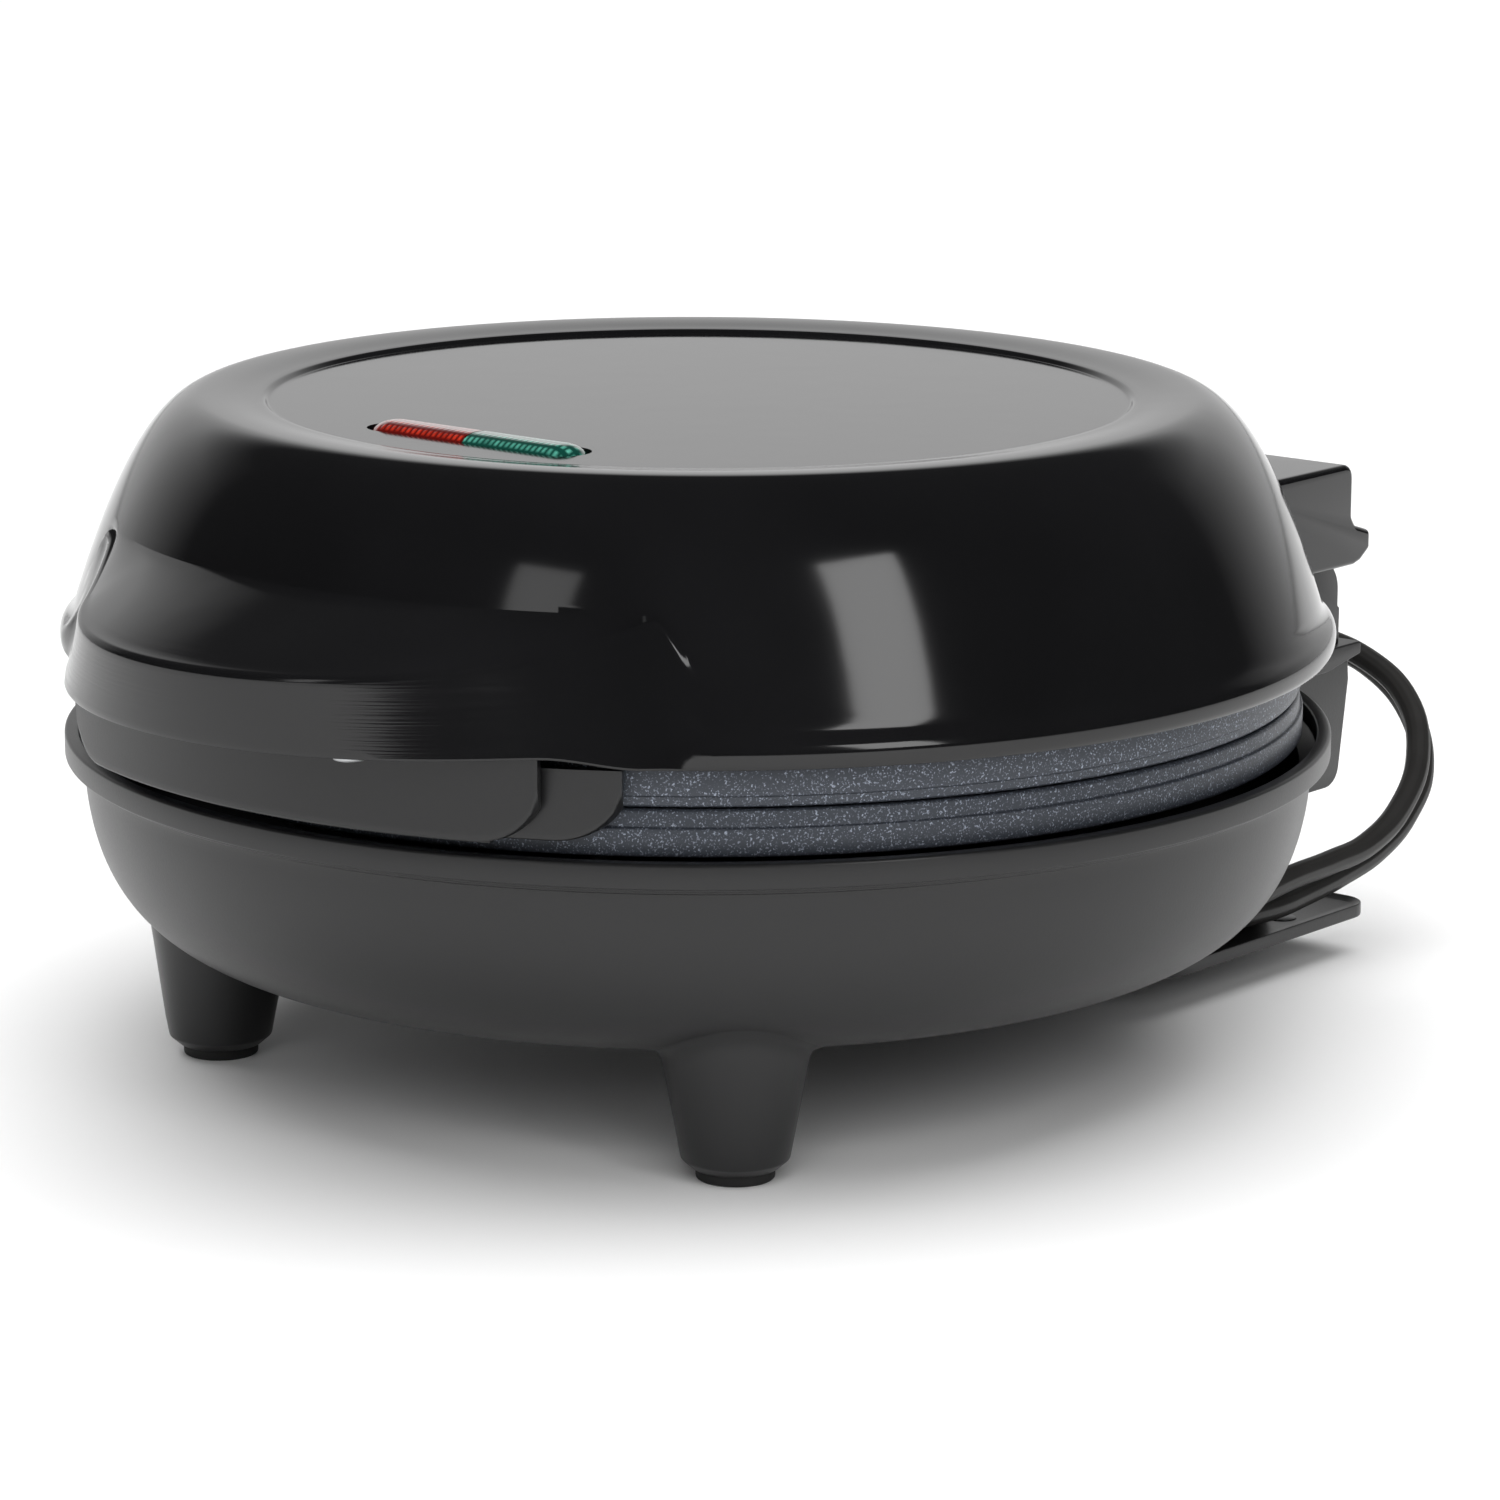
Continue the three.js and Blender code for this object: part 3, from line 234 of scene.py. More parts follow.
@dataclass(frozen=True)
class GlossPlastic:
    """Polished moulded plastic, with a faint draw-polish on the handle's front."""

    name: str = "gloss_black_plastic"
    colour: Colour = (0.0042, 0.0042, 0.0046)
    roughness: float = 0.085

    def material(self) -> bpy.types.Material:
        """Return the finish as a material."""
        board = Board(self.name)
        _, y, z = board.axes()
        front = (z.ramp(0.091, 0.087)) * (y.ramp(-0.098, -0.104))
        streaks = board.noise(0.03, 4.0, (1.0, 1.0, 70.0))
        haze = board.noise(0.045, 2.0).ramp(0.35, 0.75)
        wave = board.noise(0.009, 1.0)
        relief = wave * 0.35 + streaks * front * 0.65
        return board.finish({
            "Base Color": board.mix(haze, self.colour, tuple(1.5 * c for c in self.colour)),
            "Roughness": haze * 0.03 + front * streaks * 0.16 + self.roughness,
            "Normal": board.bump(relief, 0.00004),
            "IOR": 1.5,
        })


@dataclass(frozen=True)
class SatinPlastic:
    """Moulded plastic with a fine even grain."""

    name: str
    colour: Colour
    roughness: float = 0.4
    grain: float = 0.00045
    relief: float = 0.000012
    mottle: float = 0.06

    def material(self) -> bpy.types.Material:
        """Return the finish as a material."""
        board = Board(self.name)
        grain = board.noise(self.grain, 2.0)
        cloud = board.noise(0.03, 3.0)
        darker = tuple(c * (1.0 - 2.0 * self.mottle) for c in self.colour)
        return board.finish({
            "Base Color": board.mix(cloud, darker, self.colour),
            "Roughness": cloud * self.mottle + grain * 0.06 + (self.roughness - 0.06),
            "Normal": board.bump(grain, self.relief),
        })


@dataclass(frozen=True)
class NonStick:
    """A grey-blue non-stick coating with a fine metallic sparkle on cast aluminium."""

    name: str = "non_stick_coating"
    base: Colour = (0.040, 0.046, 0.058)
    fleck: Colour = (0.36, 0.40, 0.48)

    def material(self) -> bpy.types.Material:
        """Return the finish as a material."""
        board = Board(self.name)
        fine = board.noise(0.00035, 1.0)
        coarse = board.noise(0.0011, 2.0)
        patch = board.noise(0.02, 3.0)
        fleck = fine.ramp(0.56, 0.72) * coarse.ramp(0.3, 0.6)
        return board.finish({
            "Base Color": board.mix(fleck, self.base, self.fleck),
            "Metallic": fleck * 0.5 + 0.25,
            "Roughness": patch * 0.12 + fine * 0.14 + 0.3,
            "Normal": board.bump(coarse * 0.7 + fine * 0.3, 0.00004),
        })


@dataclass(frozen=True)
class Metal:
    """Plain metal with drawn or tumbled marks."""

    name: str
    colour: Colour
    roughness: float
    marks: Colour = (1.0, 1.0, 1.0)

    def material(self) -> bpy.types.Material:
        """Return the finish as a material."""
        board = Board(self.name)
        marks = board.noise(0.002, 4.0, self.marks)
        stain = board.noise(0.018, 3.0)
        darker = tuple(0.72 * c for c in self.colour)
        return board.finish({
            "Base Color": board.mix(stain, darker, self.colour),
            "Metallic": 1.0,
            "Roughness": marks * 0.16 + stain * 0.08 + self.roughness,
            "Normal": board.bump(marks, 0.00002),
        })


@dataclass(frozen=True)
class LensPlastic:
    """Coloured plastic with moulded ribs on its underside, drawn opaque under a clear coat, with
    the light that the ribs catch painted into its colour as bright glints.
    """

    name: str
    dark: Colour
    light: Colour
    rib_pitch: float = 0.00115

    def material(self) -> bpy.types.Material:
        """Return the finish as a material."""
        board = Board(self.name)
        x, y, z = board.axes()
        ribs = (x * (math.tau / self.rib_pitch)).sine() * 0.5 + 0.5
        rows = (y * (math.tau / 0.0021)).sine() * 0.5 + 0.5
        cloud = board.noise(0.004, 2.0)
        # Painted glints: the ribs are real, but their bright dots stand in for light caught by the
        # ribs under the clear top.
        glow = ribs * rows.ramp(0.25, 0.8) * cloud.ramp(0.25, 0.7)
        return board.finish({
            "Base Color": board.mix(glow, self.dark, self.light),
            "Roughness": cloud * 0.04 + 0.05,
            "Coat Weight": 1.0,
            "Coat Roughness": 0.03,
            "Normal": board.bump(ribs * rows, 0.00006),
        })


@dataclass(frozen=True)
class CordSheath:
    """Soft PVC: smooth along its length, with faint drawn lines and a slight bloom."""

    name: str = "cord_sheath"
    colour: Colour = (0.0125, 0.012, 0.0115)
    ridges: int = 12

    def material(self) -> bpy.types.Material:
        """Return the finish as a material."""
        board = Board(self.name)
        bloom = board.noise(0.006, 3.0)
        grain = board.noise(0.0004, 2.0)
        lay = board.node("ShaderNodeTexCoord", output="UV")
        around = board.node("ShaderNodeSeparateXYZ", None, {"Vector": lay}, "Y")
        ridges = (around * (math.tau * self.ridges)).sine() * 0.5 + 0.5
        lighter = tuple(1.7 * c for c in self.colour)
        return board.finish({
            "Base Color": board.mix(bloom, self.colour, lighter),
            "Roughness": bloom * 0.12 + 0.4,
            "Normal": board.bump(grain * 0.3 + ridges * 0.7, 0.00006),
        })


class Finish(Enum):
    """The finishes, by the record's slot that each one belongs to."""

    LID = ("lid_gloss", GlossPlastic())
    BODY = ("body_satin", SatinPlastic("satin_black_plastic", (0.0085, 0.0085, 0.009), 0.36))
    PLATE = ("nonstick", NonStick())
    STEEL = ("zinc_steel", Metal("zinc_steel", (0.58, 0.59, 0.6), 0.28))
    ELEMENT = ("element_steel", Metal("element_sheath", (0.2, 0.18, 0.165), 0.42))
    REFLECTOR = ("reflector_sheet", Metal("reflector_sheet", (0.74, 0.75, 0.77), 0.2))
    RUBBER = ("pad_rubber", SatinPlastic("rubber", (0.011, 0.011, 0.011), 0.7, 0.0007, 0.00003))
    CORD = ("cord_sheath", CordSheath())
    CERAMIC = ("insulator", SatinPlastic("ceramic", (0.62, 0.58, 0.5), 0.6, 0.0008, 0.00003))
    # The lenses' second colours are the painted glints of their ribs.
    RED = ("lens_red", LensPlastic("red_lens", (0.10, 0.002, 0.001), (0.62, 0.035, 0.012)))
    GREEN = ("lens_green", LensPlastic("green_lens", (0.002, 0.045, 0.032), (0.10, 0.42, 0.32)))
    BRASS = ("pin_brass", Metal("nickel_plating", (0.66, 0.62, 0.54), 0.22))


class Paintbox:
    """Makes each finish's material once."""

    def __init__(self) -> None:
        """Start with nothing made."""
        self.made: dict[Finish, bpy.types.Material] = {}

    def get(self, finish: Finish) -> bpy.types.Material:
        """Return a finish's material."""
        if finish not in self.made:
            self.made[finish] = finish.value[1].material()
        return self.made[finish]


# ---------------------------------------------------------------- mesh tools


def polar(radius: float, angle: float) -> tuple[float, float]:
    """Return the plan place at a radius and an angle in degrees from -Y towards +X."""
    a = math.radians(angle)
    return radius * math.sin(a), -radius * math.cos(a)


def rounded(corners: Sequence[tuple], closed: bool = False, segments: int = 5) -> Outline:
    """Round an outline's corners.

    Args:
        corners: Its corners as (x, y) or (x, y, radius).
        closed: Whether the last corner joins the first.
        segments: How many straight pieces make one round corner.

    Returns:
        The outline's points.
    """
    points: Outline = []
    count = len(corners)
    for i, corner in enumerate(corners):
        here = Vector(corner[:2])
        radius = corner[2] if len(corner) > 2 else 0.0
        at_end = not closed and i in (0, count - 1)
        if at_end or radius <= 0.0:
            points.append(tuple(here))
            continue
        before = (Vector(corners[i - 1][:2]) - here).normalized()
        after = (Vector(corners[(i + 1) % count][:2]) - here).normalized()
        half = before.angle(after) / 2
        reach = radius / math.tan(half)
        centre = here + (before + after).normalized() * (radius / math.sin(half))
        start = here + before * reach - centre
        end = here + after * reach - centre
        sweep = start.angle_signed(end)
        for k in range(segments + 1):
            a = -sweep * k / segments
            turned = Vector((
                start.x * math.cos(a) - start.y * math.sin(a),
                start.x * math.sin(a) + start.y * math.cos(a),
            ))
            points.append(tuple(centre + turned))
    return points


def smooth_share(value: float, low: float, high: float) -> float:
    """Return 0 below low, 1 above high and an even ease between."""
    share = min(max((value - low) / (high - low), 0.0), 1.0)
    return share * share * (3 - 2 * share)


def bezier(ends: Sequence[tuple[float, float]], low: float, high: float, count: int) -> Outline:
    """Return points on a cubic curve between two values of its parameter."""
    a, b, c, d = (Vector(p) for p in ends)
    points = []
    for i in range(count + 1):
        t = low + (high - low) * i / count
        u = 1 - t
        p = u**3 * a + 3 * u * u * t * b + 3 * u * t * t * c + t**3 * d
        points.append(tuple(p))
    return points


def loop_of(bm: bmesh.types.BMesh, points: Iterable[Sequence[float]], closed: bool) -> list:
    """Add a chain of vertices and edges, given in millimetres, and return both."""
    verts = [bm.verts.new(Vector(p) * MM) for p in points]
    pairs = list(zip(verts, verts[1:]))
    if closed:
        pairs.append((verts[-1], verts[0]))
    edges = [bm.edges.new(pair) for pair in pairs]
    return verts + edges


def spin(
    outline: Outline,
    steps: int,
    closed: bool = False,
    start: float = 0.0,
    sweep: float = 360.0,
) -> bmesh.types.BMesh:
    """Turn an outline of (radius, height) points round Z.

    Args:
        outline: The points, in millimetres.
        steps: How many steps the turn takes.
        closed: Whether the outline's last point joins its first.
        start: The angle that the turn starts at, in degrees from -Y.
        sweep: How far it goes, in degrees.

    Returns:
        The mesh, its ends capped where it goes less than all round.
    """
    bm = bmesh.new()
    geom = loop_of(bm, [(*polar(r, start), z) for r, z in outline], closed)
    full = sweep >= 360.0
    bmesh.ops.spin(
        bm, geom=geom, cent=(0, 0, 0), axis=(0, 0, 1), angle=math.radians(sweep),
        steps=steps, use_merge=full,
    )
    bmesh.ops.remove_doubles(bm, verts=bm.verts, dist=1e-7)
    if not full:
        bmesh.ops.holes_fill(bm, edges=[e for e in bm.edges if e.is_boundary], sides=0)
    bmesh.ops.recalc_face_normals(bm, faces=bm.faces)
    return bm


def prism(outline: Outline, low: float, high: float, axis: str = "Z") -> bmesh.types.BMesh:
    """Draw an outline out along an axis.

    Args:
        outline: Its points: (x, y) for Z, (y, z) for X or (x, z) for Y.
        low: Where it starts along the axis, in millimetres.
        high: Where it ends.
        axis: "X", "Y" or "Z".

    Returns:
        The closed mesh.
    """
    seats = {
        "X": lambda u, v, w: (w, u, v),
        "Y": lambda u, v, w: (u, w, v),
        "Z": lambda u, v, w: (u, v, w),
    }
    seat = seats[axis]
    bm = bmesh.new()
    verts = [bm.verts.new(Vector(seat(u, v, low)) * MM) for u, v in outline]
    face = bm.faces.new(verts)
    made = bmesh.ops.extrude_face_region(bm, geom=[face])["geom"]
    shift = Vector(seat(0.0, 0.0, high - low)) * MM
    moved = [g for g in made if isinstance(g, bmesh.types.BMVert)]
    bmesh.ops.translate(bm, verts=moved, vec=shift)
    bmesh.ops.recalc_face_normals(bm, faces=bm.faces)
    return bm


def soften(
    bm: bmesh.types.BMesh, width: float, sharpness: float = 40.0, segments: int = 3,
) -> None:
    """Bevel the edges that are sharper than an angle in degrees, by a width in millimetres."""
    limit = math.radians(sharpness)
    edges = [e for e in bm.edges if e.is_manifold and e.calc_face_angle() > limit]
    bmesh.ops.bevel(
        bm, geom=edges, offset=width * MM, offset_type="OFFSET", affect="EDGES",
        segments=segments, profile=0.5, material=-1, clamp_overlap=True,
    )


def merge(target: bmesh.types.BMesh, *others: bmesh.types.BMesh) -> bmesh.types.BMesh:
    """Add other meshes' closed shells to a mesh and return it."""
    for other in others:
        mesh = bpy.data.meshes.new("merge")
        other.to_mesh(mesh)
        other.free()
        target.from_mesh(mesh)
        bpy.data.meshes.remove(mesh)
    return target


def moved(bm: bmesh.types.BMesh, matrix: Matrix) -> bmesh.types.BMesh:
    """Move a mesh's vertices by a matrix and return it."""
    bmesh.ops.transform(bm, matrix=matrix, verts=bm.verts)
    return bm


def shifted(bm: bmesh.types.BMesh, x: float, y: float, z: float) -> bmesh.types.BMesh:
    """Move a mesh by millimetres and return it."""
    return moved(bm, Matrix.Translation(Vector((x, y, z)) * MM))


def turned_to(bm: bmesh.types.BMesh, degrees: float, axis: str) -> bmesh.types.BMesh:
    """Turn a mesh about an axis through the origin and return it."""
    return moved(bm, Matrix.Rotation(math.radians(degrees), 4, axis))


def pill(length: float, width: float, segments: int = 12) -> Outline:
    """Return a straight slot's outline with round ends."""
    r = width / 2
    points = []
    for side, start in ((1, -90.0), (-1, 90.0)):
        for i in range(segments + 1):
            a = math.radians(start + 180.0 * i / segments)
            points.append((side * (length / 2 - r) + r * math.cos(a), r * math.sin(a)))
    return points


def rounded_box(x0: float, y0: float, x1: float, y1: float, low: float, high: float) -> Outline:
    """Return a rectangle with one corner radius at its low side and one at its high side."""
    return rounded([(x0, y0, low), (x1, y0, low), (x1, y1, high), (x0, y1, high)], True, 8)


# ---------------------------------------------------------------- workshop


@dataclass
class Workshop:
    """Puts pieces into the scene and hangs each one on its body."""

    frame: dict
    paints: Paintbox = field(default_factory=Paintbox)

    def shape(self, bm: bmesh.types.BMesh, name: str, crisp: float = 32.0) -> bpy.types.Object:
        """Make an object from a mesh, with edges sharper than an angle left crisp."""
        limit = math.radians(crisp)
        for face in bm.faces:
            face.smooth = True
        for edge in bm.edges:
            edge.smooth = edge.is_manifold and edge.calc_face_angle() < limit
        mesh = bpy.data.meshes.new(name)
        bm.to_mesh(mesh)
        bm.free()
        made = bpy.data.objects.new(name, mesh)
        bpy.context.collection.objects.link(made)
        return made

    def carve(self, piece: bpy.types.Object, cutters: Sequence[bmesh.types.BMesh]) -> None:
        """Cut closed meshes out of a piece."""
        tools = [self.shape(cutter, f"{piece.name}_cutter") for cutter in cutters]
        for tool in tools:
            step = piece.modifiers.new(tool.name, "BOOLEAN")
            step.object = tool
            step.operation = "DIFFERENCE"
            step.solver = "EXACT"
        graph = bpy.context.evaluated_depsgraph_get()
        result = bpy.data.meshes.new_from_object(piece.evaluated_get(graph))
        piece.modifiers.clear()
        bm = bmesh.new()
        bm.from_mesh(result)
        bmesh.ops.dissolve_degenerate(bm, edges=bm.edges, dist=1e-7)
        for edge in bm.edges:
            edge.smooth = not edge.is_manifold or edge.calc_face_angle() < math.radians(32.0)
        bm.to_mesh(piece.data)
        bm.free()
        bpy.data.meshes.remove(result)
        for tool in tools:
            bpy.data.objects.remove(tool)

    def carved(
        self, bm: bmesh.types.BMesh, cutters: Sequence[bmesh.types.BMesh],
    ) -> bmesh.types.BMesh:
        """Cut closed meshes out of one closed shell and return what is left."""
        blank = self.shape(bm, "blank")
        self.carve(blank, cutters)
        left = bmesh.new()
        left.from_mesh(blank.data)
        bpy.data.objects.remove(blank)
        return left

    def fit(self, piece: bpy.types.Object, finish: Finish, body: str, *nodes: str) -> None:
        """Paint a piece, hang it on its body and let it stand for its CAD nodes."""
        if not piece.data.materials:
            piece.data.materials.append(self.paints.get(finish))
        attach(piece, body)
        if nodes:
            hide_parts(*nodes)
        LOG.info("%s rides on %s", piece.name, body)

    def dress(self, finish: Finish, *nodes: str) -> None:
        """Give CAD nodes a finish as they are."""
        for name in nodes:
            node = self.frame["nodes"][name]
            for place in node.material_slots:
                place.material = self.paints.get(finish)
            LOG.info("%s keeps its own mesh", name)


@dataclass(frozen=True)
class Layout:
    """Levels and radii read from the frame, in millimetres."""

    rim_radius: float
    rim_top: float
    bowl_bottom: float
    lid_top: float
    lid_edge: float
    lower_face: float
    upper_face: float
    hinge_y: float
    hinge_z: float
    rear_half_width: float

    @classmethod
    def from_frame(cls, frame: dict) -> Layout:
        """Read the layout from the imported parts."""
        housing_low, housing_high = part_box("lower_housing")
        _, lid_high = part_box("upper_housing")
        _, plate_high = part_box("lower_plate")
        upper_low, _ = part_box("upper_plate")
        _, cover_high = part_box("hinge_cover")
        hinge = frame["joints"][0]["pos_m"]
        return cls(
            rim_radius=housing_high[0] / MM,
            rim_top=housing_high[2] / MM,
            bowl_bottom=housing_low[2] / MM,
            lid_top=lid_high[2] / MM,
            lid_edge=lid_high[2] / MM - LID_HEIGHT,
            lower_face=plate_high[2] / MM,
            upper_face=upper_low[2] / MM,
            hinge_y=hinge[1] / MM,
            hinge_z=hinge[2] / MM,
            rear_half_width=cover_high[0] / MM,
        )

    def bowl_curve(self, offset: float, steps: int) -> Outline:
        """Return the bowl's outline from its flat underside up to the rim, grown by an offset."""
        floor = self.rim_radius - 37.1
        side = self.rim_radius - 3.1 - floor + offset
        top = self.rim_top + 1.4
        depth = top - self.bowl_bottom + offset
        points = []
        for i in range(steps + 1):
            t = math.radians(90.0 - 83.6 * (i / steps) ** 0.8)
            power = 2 / 2.73
            r = floor + side * math.cos(t) ** power if i else floor
            points.append((r, top - depth * math.sin(t) ** power))
        return points

    def bowl_height(self, radius: float) -> float:
        """Return the height of the bowl's underside at a radius."""
        floor = self.rim_radius - 37.1
        side = self.rim_radius - 3.1 - floor
        share = min(max((radius - floor) / side, 0.0), 0.999)
        depth = self.rim_top + 1.4 - self.bowl_bottom
        return self.rim_top + 1.4 - depth * (1 - share**2.73) ** (1 / 2.73)

    def bowl_cutter(self, offset: float) -> bmesh.types.BMesh:
        """Return the bowl and the space above it as one solid, grown by an offset."""
        outer = self.rim_radius + offset
        outline = [(0, self.bowl_bottom - offset)]
        outline += self.bowl_curve(offset, 24)
        outline += [(outer, self.rim_top - 4.4), (outer, self.rim_top + 8), (0, self.rim_top + 8)]
        return spin(outline, 144)

    @property
    def crest(self) -> float:
        """Return the radius of the lid's highest ring."""
        return self.rim_radius - 24.5

    @property
    def screw_circle(self) -> float:
        """Return the radius of the circle that the plates' screws stand on."""
        return self.rim_radius - 19

    @property
    def shoulder(self) -> list[tuple[float, float]]:
        """Return the lid shoulder's curve from the crest down to the bead."""
        r = self.rim_radius
        return [
            (self.crest, self.lid_top), (r - 15.6, self.lid_top),
            (r - 7.95, self.lid_top - 17.5), (r - 2.5, self.lid_edge + 8.1),
        ]

    def shoulder_share(self, radius: float) -> float:
        """Return the shoulder curve's parameter at a radius."""
        low, high = 0.0, 1.0
        for _ in range(40):
            middle = (low + high) / 2
            if bezier(self.shoulder, middle, middle, 1)[0][0] < radius:
                low = middle
            else:
                high = middle
        return low

    def lid_cutter(self, offset: float) -> bmesh.types.BMesh:
        """Return the lid as one solid, grown by an offset."""
        bead = self.rim_radius + 0.4 + offset
        outline = [(0, self.lid_top + offset)]
        outline += [(r + offset, z + offset * 0.3) for r, z in bezier(self.shoulder, 0, 1, 24)]
        outline += [(bead, self.lid_edge + 2.8), (bead, self.lid_edge - 6), (0, self.lid_edge - 6)]
        return spin(outline, 144)


# ---------------------------------------------------------------- lid


@dataclass
class Ledge:
    """The lid's front ledge, the upper half of the handle, in millimetres."""

    layout: Layout
    half_angle: float = 36.7
    drop: float = 8.2
    rounding: float = 1.3

    def _radius(self, angle: float, reach: float, arc: float, tip: float) -> float:
        """Return the radius of a front arc with tangents to the ledge's tips, at an angle."""
        centre = reach - arc
        tip_x, tip_y = polar(tip, self.half_angle)
        away = math.hypot(tip_x, tip_y + centre)
        heading = math.atan2(-(tip_y + centre), tip_x)
        touch = heading + math.acos(min(1.0, arc / away))
        touch_x = arc * math.cos(touch)
        touch_y = -centre - arc * math.sin(touch)
        a = math.radians(abs(angle))
        if a <= math.atan2(touch_x, -touch_y):
            return centre * math.cos(a) + math.sqrt(arc**2 - (centre * math.sin(a)) ** 2)
        dx, dy = tip_x - touch_x, tip_y - touch_y
        return (touch_x * dy - touch_y * dx) / (math.sin(a) * dy + math.cos(a) * dx)

    @property
    def crease(self) -> float:
        """Return the radius of the crease where the ledge leaves the shoulder."""
        return self.layout.rim_radius - 8

    @property
    def half_width(self) -> float:
        """Return how far the tips are from the middle."""
        return self.crease * math.sin(math.radians(self.half_angle))

    def top_radius(self, angle: float) -> float:
        """Return the radius of the upper front edge."""
        return self._radius(angle, self.layout.rim_radius + 19, self.half_width - 9, self.crease)

    def foot_radius(self, angle: float) -> float:
        """Return the radius of the lower front edge."""
        reach, tip = self.layout.rim_radius + 17.5, self.layout.rim_radius - 0.2
        return self._radius(angle, reach, self.half_width + 3, tip)

    def stations(self, angle: float, crease_z: float, counts: tuple[int, int, int]) -> Outline:
        """Return the ledge's outline at an angle.

        Args:
            angle: The angle from the front, in degrees.
            crease_z: The height of the crease.
            counts: How many steps the top, the round edge and the front face take.

        Returns:
            The points from the crease to the inside of the lower edge.
        """
        top_steps, edge_steps, front_steps = counts
        share = min(abs(angle) / self.half_angle, 1.0)
        top = crease_z - self.drop * (1 - share**3)
        edge = self.top_radius(angle)
        foot = self.foot_radius(angle)
        bottom = self.layout.lid_edge + 2.1 * (1 - smooth_share(abs(angle), 27.0, 35.5))
        size = self.rounding
        start = Vector((self.crease, crease_z))
        end = Vector((max(edge - size, self.crease), top))
        points = [tuple(start.lerp(end, i / top_steps)) for i in range(top_steps + 1)]
        for i in range(1, edge_steps + 1):
            a = math.radians(90.0 - 88.0 * i / edge_steps)
            centre = Vector((max(edge - size, self.crease), top - size))
            points.append(tuple(centre + size * Vector((math.cos(a), math.sin(a)))))
        upper = Vector(points[-1])
        lower = Vector((foot, bottom + 0.5))
        for i in range(1, front_steps + 1):
            points.append(tuple(upper.lerp(lower, i / front_steps)))
        points += [(foot - 0.15, bottom + 0.12), (foot - 0.5, bottom), (foot - 2.4, bottom)]
        return points


